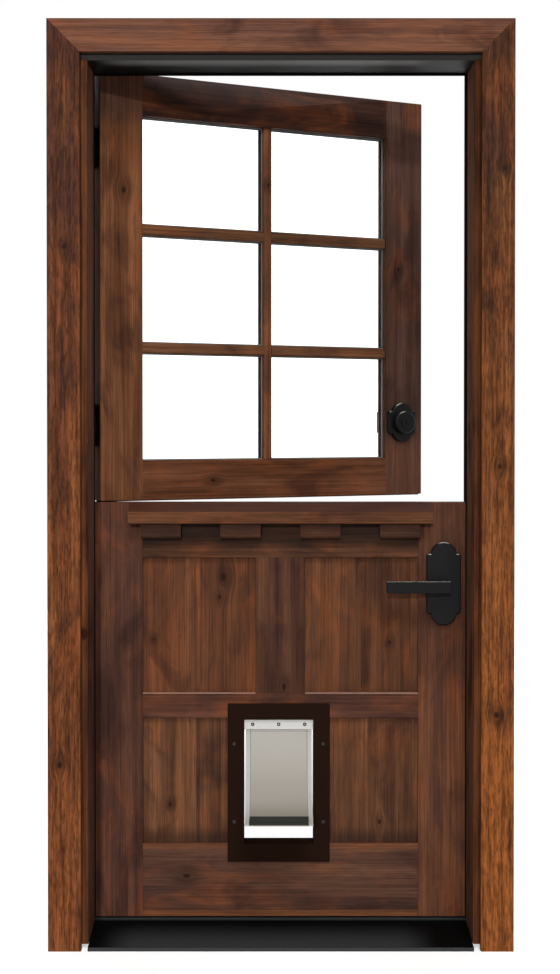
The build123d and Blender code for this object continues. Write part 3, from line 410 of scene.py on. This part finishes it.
upperBoards = {
    # darker at its top: partly a stain blotch, partly painted shade under the head
    "upper_stile_hinge_side": {"grain": "z", "seed": 18, "dark": "#55321f", "mid": "#6e462e",
                               "light": "#865638", "stainAndPaintedLightBands": ((1945, 2100, 60, "#3c2c2c", 0.5),),
                               "knots": ((62, 1778, 6.5),)},
    "upper_stile_lock_side": {"grain": "z", "seed": 19, "dark": "#37261e", "mid": "#473128",
                              "light": "#563d32", "stainAndPaintedLightBands": ((980, 1170, 80, "#684231", 0.5),),
                              "knots": ((840, 1620, 5),)},
    "upper_rail_bottom": {"grain": "x", "seed": 20, "dark": "#502e1b", "mid": "#633d29", "light": "#744a32",
                          "knots": ((300, 1075, 5),)},
    # the top rail is stained far darker than the other boards, as painted shade under the head
    "upper_rail_top": {"grain": "x", "seed": 21, "dark": "#251612", "mid": "#331f19", "light": "#402920",
                       "blotchDepth": 0.7},
    "glazing_bar_upright": {"grain": "z", "seed": 22, "dark": "#4f3420", "mid": "#6a422b",
                            "light": "#7b5038", "knots": ((456, 1816, 4),)},
    "glazing_bar_lower": {"grain": "x", "seed": 23, "dark": "#4e3222", "mid": "#61402c", "light": "#714d35"},
    "glazing_bar_upper": {"grain": "x", "seed": 24, "dark": "#4e3222", "mid": "#61402c", "light": "#714d35"},
    "glazing_frame_inside": {"grain": "z", "seed": 25,
                             "dark": "#4a2f21", "mid": "#603d2b", "light": "#724b34"},
}
for boards, turned in ((casingBoards, False), (lowerBoards, False), (upperBoards, True)):
    for nodeName, board in boards.items():
        paint(nodeName, woodMaterial("stainedAlder_" + nodeName, {**board, "turned": turned}))
        easeEdges(nodeName, edgeLook["timber"])
print("timber stained")


# The fine surface of each finish: the size of its grain in mm along x, y and z, how far the roughness
# and the tone wander with it, and its relief
surfaces = {
    "bakedCoat": {"grain": (1.6, 1.6, 1.6), "spread": 0.12, "mottle": 0.16, "bump": 0.12, "relief": 0.04},
    "brushed": {"grain": (0.5, 0.5, 16), "spread": 0.2, "mottle": 0.12, "bump": 0.1, "relief": 0.02},
    "moulded": {"grain": (1.1, 1.1, 1.1), "spread": 0.15, "mottle": 0.14, "bump": 0.16, "relief": 0.05},
    "rubbery": {"grain": (2.2, 2.2, 6), "spread": 0.1, "mottle": 0.12, "bump": 0.08, "relief": 0.05},
}
surfaceNoise = {"Scale": 1.0, "Detail": 2, "Roughness": 0.6}


def addSurface(tree, shader, surface):
    place = addNode(tree, "ShaderNodeTexCoord").outputs["Object"]
    scale = [1 / size for size in metres(surface["grain"])]
    scaled = addNode(tree, "ShaderNodeVectorMath", {"operation": "MULTIPLY", 1: scale}, {0: place})
    grain = addNode(tree, "ShaderNodeTexNoise", surfaceNoise,
                    {"Vector": scaled.outputs["Vector"]}).outputs["Fac"]
    even = shader.inputs["Roughness"].default_value
    rough = addNode(tree, "ShaderNodeMapRange",
                    {"To Min": even - surface["spread"], "To Max": even + surface["spread"]},
                    {"Value": grain})
    tree.links.new(rough.outputs["Result"], shader.inputs["Roughness"])
    if not shader.inputs["Base Color"].is_linked:
        # a plain tone wanders a little to each side of itself
        tone = list(shader.inputs["Base Color"].default_value)[:3]
        low, high = ([c * (1 + side * surface["mottle"]) for c in tone] + [1] for side in (-1, 1))
        mottled = addNode(tree, "ShaderNodeMix", {"data_type": "RGBA", 6: low, 7: high}, {0: grain})
        tree.links.new(mottled.outputs[2], shader.inputs["Base Color"])
    relief = addNode(tree, "ShaderNodeBump",
                     {"Strength": surface["bump"], "Distance": surface["relief"] * mm}, {"Height": grain})
    tree.links.new(relief.outputs["Normal"], shader.inputs["Normal"])


def plainMaterial(name, finish, surfaceName=None):
    material, tree, shader = newMaterial(name, finish)
    if surfaceName:
        addSurface(tree, shader, surfaces[surfaceName])
    return material


# Black powder coat on steel and zinc: matte, with a painted highlight on its upper bevels, where light from
# above catches them. The slope of a bevel says how far the painted highlight reaches: on the plates only its
# top, on the handles their whole upper edge
coatLook = {"coat": "#0f0f0f", "handle": "#0b0b0c", "paintedShine": "#a19f98", "plateBevel": (0.44, 0.49),
            "handleBevel": (0.3, 0.55)}
coatFinish = {"Roughness": 0.4, "Specular IOR Level": 0.1}


def powderCoat(name, coat, bevel):
    material, tree, shader = newMaterial(name, coatFinish)
    normal = addNode(tree, "ShaderNodeTexCoord").outputs["Normal"]
    parts = addNode(tree, "ShaderNodeSeparateXYZ", links={0: normal}).outputs
    level = addNode(tree, "ShaderNodeMath", {"operation": "ABSOLUTE"}, {0: parts["Y"]}).outputs["Value"]
    slope = addNode(tree, "ShaderNodeMath", {"operation": "MULTIPLY"}, {0: parts["Z"], 1: level})
    # painted highlight on the bevels that face up and out
    paintedHighlight = fadeMask(tree, 1.0, [(slope.outputs["Value"], *bevel)])
    colour = layTones(tree, coat, [(coatLook["paintedShine"], paintedHighlight)])
    tree.links.new(colour, shader.inputs["Base Color"])
    addSurface(tree, shader, surfaces["bakedCoat"])
    return material


blackCoat = powderCoat("blackPowderCoat", coatLook["coat"], coatLook["plateBevel"])
handleCoat = powderCoat("blackPowderCoatHandles", coatLook["handle"], coatLook["handleBevel"])
# The same coat on the key cylinder, without the painted highlight
cylinderCoat = plainMaterial("blackPowderCoatWithoutHighlight", {"Base Color": coatLook["coat"], **coatFinish},
                             "bakedCoat")
# Brushed steel of bolts, lock cases and strikes: grey with a soft upright sheen
boltSteel = plainMaterial("brushedSteel", {"Base Color": "#a9a9a8", "Metallic": 1.0, "Roughness": 0.34},
                          "brushed")
# Satin aluminium of the clamp bar and the glass spacer: pale grey with a dull shine
clampMetal = plainMaterial("satinAluminium", {"Base Color": "#bfbdba", "Metallic": 0.2, "Roughness": 0.5},
                           "brushed")
spacerMetal = plainMaterial("spacerAluminium", {"Base Color": "#8f8f8e", "Metallic": 0.6, "Roughness": 0.4},
                            "brushed")
# Dark brown thermoplastic rubber of the seals: dull
sealRubber = plainMaterial("sealRubber", {"Base Color": "#160f0c", "Roughness": 0.7,
                                          "Specular IOR Level": 0.0}, "rubbery")
# Brown-black moulded ABS of the pet frame: an even matte skin
petPlastic = plainMaterial("brownMouldedAbs", {"Base Color": "#22150f", "Roughness": 0.6,
                                               "Specular IOR Level": 0.0}, "moulded")
# Darkened steel of the pet frame's screws: dull grey heads
screwSteel = plainMaterial("darkenedSteel", {"Base Color": "#25211e", "Metallic": 0.6, "Roughness": 0.4},
                           "brushed")
# Magnet strip in green-black rubber along the flap's foot: dull, with hardly a shine
magnetRubber = plainMaterial("magnetRubber", {"Base Color": "#272a25", "Roughness": 0.55,
                                              "Specular IOR Level": 0.1}, "rubbery")
# Float glass, clear, with only a faint reflection
floatGlass = plainMaterial("floatGlass", {"Base Color": "#fbfdfc", "Roughness": 0.0, "IOR": 1.45,
                                          "Transmission Weight": 1.0})
# The pieces that take each finish
finishes = {
    blackCoat: ("lever_plate_outside", "lever_plate_inside", "deadbolt_rose", "deadbolt_plate_inside",
                "tie_bolt_body", "tie_bolt_rod", "tie_bolt_keeper", "hinge_plates_frame",
                "hinge_plates_lower", "hinge_plates_upper", "hinge_pins"),
    handleCoat: ("lever_outside", "lever_inside", "thumbturn"),
    cylinderCoat: ("deadbolt_cylinder",),
    boltSteel: ("latch_case", "latch_bolt", "deadbolt_case", "deadbolt_bolt", "strike_plate_latch",
                "strike_plate_deadbolt"),
    clampMetal: ("flap_clamp",),
    spacerMetal: ("glass_spacer",),
    sealRubber: ("weatherstrip", "door_sweep", "meeting_seal"),
    petPlastic: ("pet_frame_outside", "pet_frame_inside"),
    magnetRubber: ("flap_magnet",),
    floatGlass: ("glass_outside", "glass_inside"),
}
for material, names in finishes.items():
    for nodeName in names:
        paint(nodeName, material)
# How wide the edges of metal and plastic are eased, in mm
edgeWidths = {"lever_outside": 1.6, "lever_inside": 1.6, "thumbturn": 0.6, "flap_clamp": 0.6,
              "sill_deck": 0.6, "sill_cap": 0.6, "head_liner": 0.6, "pet_frame_outside": 0.5,
              "pet_frame_inside": 0.5}
for nodeName, width in edgeWidths.items():
    easeEdges(nodeName, width)


# Soft vinyl of the flap: silver-grey, with painted shade that darkens it towards its foot, with a seam
# and a paler rib down each side
flapLook = {"top": "#aaa59e", "foot": "#837b6e", "rib": "#b4b1ab", "seam": "#7c7973", "ribInset": 10.5,
            "seamWidth": 1.8, "seamSoft": 0.5}


def flapVinyl():
    material, tree, shader = newMaterial("softFlapVinyl", {"Roughness": 0.5, "Specular IOR Level": 0.25})
    low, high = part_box("pet_flap")
    place = addNode(tree, "ShaderNodeTexCoord").outputs["Object"]
    parts = addNode(tree, "ShaderNodeSeparateXYZ", links={0: place}).outputs
    centre = (low[0] + high[0]) / 2
    side = addNode(tree, "ShaderNodeMath", {"operation": "SUBTRACT", 1: centre}, {0: parts["X"]})
    span = addNode(tree, "ShaderNodeMath", {"operation": "ABSOLUTE"},
                   {0: side.outputs["Value"]}).outputs["Value"]
    ribStart = (high[0] - low[0]) / 2 - flapLook["ribInset"] * mm
    seamStart = ribStart - flapLook["seamWidth"] * mm
    soft = flapLook["seamSoft"] * mm
    # painted shade: the foot darker than the top
    layers = ((flapLook["top"], (parts["Z"], low[2], high[2])),
              (flapLook["seam"], (span, seamStart, seamStart + soft)),
              (flapLook["rib"], (span, ribStart, ribStart + soft)))
    colour = layTones(tree, flapLook["foot"], [(tone, fadeMask(tree, 1.0, [fade])) for tone, fade in layers])
    tree.links.new(colour, shader.inputs["Base Color"])
    addSurface(tree, shader, surfaces["moulded"])
    return material


paint("pet_flap", flapVinyl())


# Dull dark paint on the aluminium of the head and the sill: its front edge is paler than the near-black
# painted shade behind it, and a painted reflection lies paler in one place: on each side of it the
# reflection starts at the first place and is full at the second, in mm
paintLooks = {
    "head_liner": {"paintedShade": "#0d0e0e", "edge": "#262321", "paintedShine": "#6e6e6e", "near": (-1, 0),
                   "far": (75, 15), "left": (-440, -350), "right": (360, 290), "gloss": 0.1},
    "sill_deck": {"paintedShade": "#040505", "edge": "#3a3b3b", "paintedShine": "#353637", "near": (-18, -16),
                  "far": (130, -10), "left": (-430, -330), "right": (370, 270), "gloss": 0.02},
}
paintRoughness = 0.5


def darkPaint(nodeName, look):
    material, tree, shader = newMaterial("dullDarkPaint_" + nodeName,
                                         {"Roughness": paintRoughness, "Specular IOR Level": look["gloss"]})
    place = addNode(tree, "ShaderNodeTexCoord").outputs["Object"]
    parts = addNode(tree, "ShaderNodeSeparateXYZ", links={0: place}).outputs
    fades = [(parts[axis], *metres(look[side]))
             for axis, side in (("Y", "near"), ("Y", "far"), ("X", "left"), ("X", "right"))]
    # near-black painted shade behind the front edge, and a paler painted reflection on one patch
    paintedShadeBehindEdge = fadeMask(tree, 1.0, fades[:1], smooth=True)
    paintedShine = fadeMask(tree, 1.0, fades, smooth=True)
    colour = layTones(tree, look["edge"], [(look["paintedShade"], paintedShadeBehindEdge), (look["paintedShine"], paintedShine)])
    tree.links.new(colour, shader.inputs["Base Color"])
    addSurface(tree, shader, surfaces["bakedCoat"])
    return material


for nodeName, look in paintLooks.items():
    paint(nodeName, darkPaint(nodeName, look))
# The same paint on the timber cap of the sill, without the painted shade and reflection
capPaint = {"Base Color": "#1e2020", "Roughness": paintRoughness, "Specular IOR Level": 0.1}
paint("sill_cap", plainMaterial("dullDarkPaint_sill_cap", capPaint, "bakedCoat"))
print("metal, glass and plastic finished")


def clearSelection():
    bpy.ops.object.select_all(action="DESELECT")


def selectFaces(piece, test):
    # in edit mode, only the faces that pass the test are selected
    bpy.ops.mesh.select_all(action="DESELECT")
    bpy.ops.object.mode_set(mode="OBJECT")
    for face in piece.data.polygons:
        face.select = test(face)
    bpy.ops.object.mode_set(mode="EDIT")


# A countersunk wood screw, head only: its face is flush with the metal and its cross stands open
screwHead = {"radius": 4.2, "height": 1.6, "sides": 24, "rim": 0.5, "rimRise": 0.25,
             "crossLength": 4.6, "crossWidth": 1.1, "crossDepth": 1.0}


def makeScrewHead():
    radius, height, rise = metres((screwHead["radius"], screwHead["height"], screwHead["rimRise"]))
    facesUp = 0.9  # a face counts as the top if its normal rises more than this
    clearSelection()
    bpy.ops.mesh.primitive_cylinder_add(vertices=screwHead["sides"], radius=radius, depth=height,
                                        location=(0, 0, 0))
    head = bpy.context.object
    bpy.ops.object.mode_set(mode="EDIT")
    selectFaces(head, lambda face: face.normal.z > facesUp)
    bpy.ops.mesh.inset(thickness=screwHead["rim"] * mm)
    bpy.ops.transform.translate(value=(0, 0, rise))
    bpy.ops.object.mode_set(mode="OBJECT")
    clearSelection()
    top = height / 2 + rise
    arms = []
    for length, width in ((screwHead["crossLength"], screwHead["crossWidth"]),
                          (screwHead["crossWidth"], screwHead["crossLength"])):
        bpy.ops.mesh.primitive_cube_add(size=1, location=(0, 0, top))
        arm = bpy.context.object
        arm.scale = (length * mm, width * mm, 2 * screwHead["crossDepth"] * mm)
        bpy.ops.object.transform_apply(location=True, rotation=True, scale=True)
        cut = head.modifiers.new("crossRecess", "BOOLEAN")
        cut.operation = "DIFFERENCE"
        cut.solver = "EXACT"
        cut.object = arm
        arms.append(arm)
    clearSelection()
    bpy.context.view_layer.objects.active = head
    head.select_set(True)
    for cut in list(head.modifiers):
        bpy.ops.object.modifier_apply(modifier=cut.name)
    for arm in arms:
        bpy.data.objects.remove(arm)
    return head


def screwRow(name, model, places, body, material):
    # copies of one screw head, each turned to face outwards, joined into one piece
    copies = []
    for point, direction, axes in places:
        facing = Vector((0, 0, 1)).rotation_difference(Vector(direction)).to_matrix().to_4x4()
        copy = bpy.data.objects.new(name, model.data.copy())
        copy.data.transform(axes @ Matrix.Translation(Vector(point)) @ facing)
        bpy.context.collection.objects.link(copy)
        copies.append(copy)
    clearSelection()
    for copy in copies:
        copy.select_set(True)
    bpy.context.view_layer.objects.active = copies[0]
    bpy.ops.object.join()
    row = bpy.context.view_layer.objects.active
    row.data.materials.clear()
    row.data.materials.append(material)
    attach(row, body)


# Where the screws sit, measured from the plates that they hold, in mm
screwPlaces = {
    "hingeStep": 32, "hingeAcross": 17, "halfHinge": 50, "hingeFace": 1.5, "strikeStep": 28,
    "casePlateStep": 26, "petAcross": 106.5, "petUp": 93.5, "petSeat": 0.3, "clampAcross": 62.4,
    "clampSeat": 0.3, "tieAcross": 9, "tieUp": 10.8, "tiePlate": 3, "leverPlateStep": 84,
    "rosePlateStep": 38, "sink": 0.7,
}
sink = screwPlaces["sink"] * mm
screwModel = makeScrewHead()


def bothWays(stepName):
    # one step to each side of the middle
    step = screwPlaces[stepName] * mm
    return (-step, step)


def faceMiddle(low, high, facing, depth):
    # the middle of the side of a box that looks this way, moved inwards by the depth
    low, high = Vector(low), Vector(high)
    inward = [turn * (reach - depth) for turn, reach in zip(facing, (high - low) / 2)]
    return (low + high) / 2 + Vector(inward)


def screwGrid(middle, facing, axes, across, up):
    # a screw at each of the steps across and up from the middle
    return [(middle + Vector((i, 0, j)), facing, axes) for i in across for j in up]


def hingeScrews(name, nodeName, axes, side, heights, body):
    low, high = ownBox(nodeName, axes)
    plateFace = side * screwPlaces["hingeFace"] * mm
    depth = low[1] + screwPlaces["hingeAcross"] * mm
    places = []
    for height in heights:
        for step in (-1, 0, 1):
            point = (plateFace + side * sink, depth, height + step * screwPlaces["hingeStep"] * mm)
            places.append((point, (-side, 0, 0), axes))
    screwRow(name, screwModel, places, body, blackCoat)


lowerLow, lowerHigh = ownBox("hinge_plates_lower", lowerLeafAxes)
upperLow, upperHigh = ownBox("hinge_plates_upper", upperLeafAxes)
halfHinge = screwPlaces["halfHinge"] * mm
lowerHinges = (lowerLow[2] + halfHinge, lowerHigh[2] - halfHinge)
upperHinges = (upperLow[2] + halfHinge, upperHigh[2] - halfHinge)
hingeScrews("hingeScrewsFrame", "hinge_plates_frame", lowerLeafAxes, -1, lowerHinges + upperHinges, "frame")
hingeScrews("hingeScrewsLowerLeaf", "hinge_plates_lower", lowerLeafAxes, 1, lowerHinges, "lower_leaf")
hingeScrews("hingeScrewsUpperLeaf", "hinge_plates_upper", upperLeafAxes, 1, upperHinges, "upper_leaf")

# The ways that faces look, in a leaf's own axes
toHinges, toLock, toFront, toInside = (-1, 0, 0), (1, 0, 0), (0, -1, 0), (0, 1, 0)

# Two screws, one above the other, hold each strike plate, lock case and inside lock plate
for label, nodeName in (("strikeScrewsLatch", "strike_plate_latch"),
                        ("strikeScrewsDeadbolt", "strike_plate_deadbolt")):
    middle = faceMiddle(*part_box(nodeName), toHinges, sink)
    places = screwGrid(middle, toHinges, frameAxes, (0,), bothWays("strikeStep"))
    screwRow(label, screwModel, places, "frame", boltSteel)
for label, nodeName, axes, body, facing, stepName, material, slotName in (
    ("latchCaseScrews", "latch_case", lowerLeafAxes, "lower_leaf",
     toLock, "casePlateStep", boltSteel, "bolt_steel"),
    ("deadboltCaseScrews", "deadbolt_case", upperLeafAxes, "upper_leaf",
     toLock, "casePlateStep", boltSteel, "bolt_steel"),
    ("leverPlateScrews", "lever_plate_inside", lowerLeafAxes, "lower_leaf",
     toInside, "leverPlateStep", blackCoat, "lock_metal"),
    ("deadboltPlateScrews", "deadbolt_plate_inside", upperLeafAxes, "upper_leaf",
     toInside, "rosePlateStep", blackCoat, "lock_metal"),
):
    middle = faceMiddle(*ownBox(nodeName, axes), facing, sink)
    places = screwGrid(middle, facing, axes, (0,), bothWays(stepName))
    screwRow(label, screwModel, places, body, material)

# The tie bolt's plate lies on the leaf, so its inside face is measured from its back
plateDepth = screwPlaces["tiePlate"] * mm - sink
middle = faceMiddle(*ownBox("tie_bolt_body", upperLeafAxes), toFront, plateDepth)
places = screwGrid(middle, toInside, upperLeafAxes, bothWays("tieAcross"), bothWays("tieUp"))
screwRow("tieBoltScrews", screwModel, places, "upper_leaf", blackCoat)

# A screw at each corner of the pet frame, and three in a row through the clamp
middle = faceMiddle(*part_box("pet_frame_outside"), toFront, screwPlaces["petSeat"] * mm)
places = screwGrid(middle, toFront, frameAxes, bothWays("petAcross"), bothWays("petUp"))
screwRow("petFrameScrews", screwModel, places, "lower_leaf", screwSteel)
clampLeft, clampRight = bothWays("clampAcross")
middle = faceMiddle(*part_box("flap_clamp"), toFront, screwPlaces["clampSeat"] * mm)
places = screwGrid(middle, toFront, frameAxes, (clampLeft, 0, clampRight), (0,))
screwRow("clampScrews", screwModel, places, "lower_leaf", blackCoat)
bpy.data.objects.remove(screwModel)
print("screws set")


# A thin grey line of glazing sealant round each of the six lights, on both faces of the glass
glazingLine = {"width": 2.6, "height": 1.4, "edge": 0.4, "edgeSegments": 2}
sealant = plainMaterial("greyGlazingSealant", {"Base Color": "#6d6e6e", "Roughness": 0.5}, "rubbery")


def sealantRing(columns, rows, faceV, outwards):
    width, depth = columns[1] - columns[0], rows[1] - rows[0]
    clearSelection()
    bpy.ops.mesh.primitive_plane_add(size=1, location=(0, 0, 0))
    ring = bpy.context.object
    ring.scale = (width, depth, 1)
    bpy.ops.object.transform_apply(location=False, rotation=False, scale=True)
    bpy.ops.object.mode_set(mode="EDIT")
    bpy.ops.mesh.select_all(action="SELECT")
    bpy.ops.mesh.inset(thickness=glazingLine["width"] * mm)
    bpy.ops.mesh.delete(type="ONLY_FACE")
    bpy.ops.mesh.select_all(action="SELECT")
    bpy.ops.mesh.extrude_region_move(
        TRANSFORM_OT_translate={"value": (0, 0, glazingLine["height"] * mm)}
    )
    bpy.ops.mesh.select_all(action="SELECT")
    bpy.ops.mesh.normals_make_consistent(inside=False)
    bpy.ops.object.mode_set(mode="OBJECT")
    bevel = ring.modifiers.new("softBead", "BEVEL")
    bevel.width = glazingLine["edge"] * mm
    bevel.segments = glazingLine["edgeSegments"]
    bpy.ops.object.modifier_apply(modifier="softBead")
    # the plane's normal turns to face out of the glass
    facing = Matrix.Rotation(pi / 2 if outwards < 0 else -pi / 2, 4, "X")
    centre = Vector(((columns[0] + columns[1]) / 2, faceV, (rows[0] + rows[1]) / 2))
    ring.data.transform(upperLeafAxes @ Matrix.Translation(centre) @ facing)
    return ring


crossLow, crossLowTop = ownBox("glazing_bar_lower", upperLeafAxes)
crossHigh, crossHighTop = ownBox("glazing_bar_upper", upperLeafAxes)
uprightLow, uprightHigh = ownBox("glazing_bar_upright", upperLeafAxes)
lightColumns = ((crossLow[0], uprightLow[0]), (uprightHigh[0], crossLowTop[0]))
lightRows = ((uprightLow[2], crossLow[2]), (crossLowTop[2], crossHigh[2]), (crossHighTop[2], uprightHigh[2]))
glassFront = ownBox("glass_outside", upperLeafAxes)[0][1]
glassBack = ownBox("glass_inside", upperLeafAxes)[1][1]
for label, faceV, outwards in (("sealantOutside", glassFront, -1), ("sealantInside", glassBack, 1)):
    rings = [sealantRing(columns, rows, faceV, outwards) for columns in lightColumns for rows in lightRows]
    clearSelection()
    for ring in rings:
        ring.select_set(True)
    bpy.context.view_layer.objects.active = rings[0]
    bpy.ops.object.join()
    sealantLines = bpy.context.view_layer.objects.active
    sealantLines.name = label
    sealantLines.data.materials.append(sealant)
    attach(sealantLines, "upper_leaf")
print("glazing sealed")


def seenBackground(tree):
    # 1 for a ray that shows the background: straight, in a reflection or through glass
    rays = addNode(tree, "ShaderNodeLightPath").outputs
    return joinMasks(tree, "MAXIMUM", [rays["Is Camera Ray"], rays["Is Glossy Ray"],
                                       rays["Is Transmission Ray"]])


# White ground that keeps the door's shadow, and a white surround
studio = {"floorSize": 14, "floor": "#e6e6e6", "floorRoughness": 0.9, "floorGlow": 0.5, "ambient": 0.2,
          "surround": "#ffffff"}
clearSelection()
bpy.ops.mesh.primitive_plane_add(size=studio["floorSize"], location=(0, 0, cadBounds[0][2]))
floor = bpy.context.object
floor.name = "studioFloor"
floorMaterial, tree, shader = newMaterial("whiteFloor", {"Base Color": studio["floor"],
                                                         "Roughness": studio["floorRoughness"],
                                                         "Specular IOR Level": 0.0,
                                                         "Emission Color": studio["surround"]})
seen = seenBackground(tree)
glow = addNode(tree, "ShaderNodeMath", {"operation": "MULTIPLY", 1: studio["floorGlow"]}, {0: seen})
tree.links.new(glow.outputs["Value"], shader.inputs["Emission Strength"])
floor.data.materials.append(floorMaterial)

world = bpy.data.worlds.new("whiteSurround")
bpy.context.scene.world = world
world.use_nodes = True
tree = world.node_tree
tree.nodes.clear()
seen = seenBackground(tree)
level = addNode(tree, "ShaderNodeMapRange", {"To Min": studio["ambient"], "To Max": 1.0}, {"Value": seen})
surround = addNode(tree, "ShaderNodeBackground", {"Color": studio["surround"]},
                   {"Strength": level.outputs["Result"]})
addNode(tree, "ShaderNodeOutputWorld", links={"Surface": surround.outputs["Background"]})

# A low front lamp throws the head's slanting shadow on the open leaf and a soft one hangs above.
# The one behind gives no shine, and the one overhead gives only shine, on the black metal's edges.
# Angles are in degrees
lamps = {
    "frontKey": {"energy": 1.3, "angle": 2.5, "elevation": 15, "azimuth": -6},
    "topSoft": {"energy": 1.6, "angle": 20, "elevation": 48, "azimuth": 10},
    "backSoft": {"energy": 1.7, "angle": 90, "elevation": 30, "azimuth": 180, "shine": False},
    "edgeShine": {"energy": 5, "angle": 10, "elevation": 88, "azimuth": 0, "fill": False},
}
for name, lamp in lamps.items():
    data = bpy.data.lights.new(name, "SUN")
    data.energy = lamp["energy"]
    data.angle = radians(lamp["angle"])
    light = bpy.data.objects.new(name, data)
    light.rotation_euler = (radians(90 - lamp["elevation"]), 0, radians(lamp["azimuth"]))
    light.visible_glossy = lamp.get("shine", True)
    light.visible_diffuse = lamp.get("fill", True)
    bpy.context.collection.objects.link(light)

# The photograph's camera, solved from the door's straight edges: place and sensor in mm, pitch in
# degrees, the rest in pixels
photoCamera = {"place": (-27.1, -3742.9, 1210.9), "pitch": -0.82, "focalPixels": 1625.13,
               "centre": (269.06, 448.70), "picture": (560, 974), "sensor": 36}
cameraData = bpy.data.cameras.new("photoCamera")
width, height = photoCamera["picture"]
cameraData.sensor_fit = "VERTICAL"
cameraData.sensor_height = photoCamera["sensor"]
cameraData.lens = photoCamera["focalPixels"] * photoCamera["sensor"] / height
cameraData.shift_x = (width / 2 - photoCamera["centre"][0]) / height
cameraData.shift_y = -(height / 2 - photoCamera["centre"][1]) / height
camera = bpy.data.objects.new("photoCamera", cameraData)
camera.location = Vector(photoCamera["place"]) * mm
camera.rotation_euler = (radians(90 + photoCamera["pitch"]), 0, 0)
bpy.context.collection.objects.link(camera)
bpy.context.scene.camera = camera
bpy.context.scene.view_settings.view_transform = "Standard"
print("studio lit")
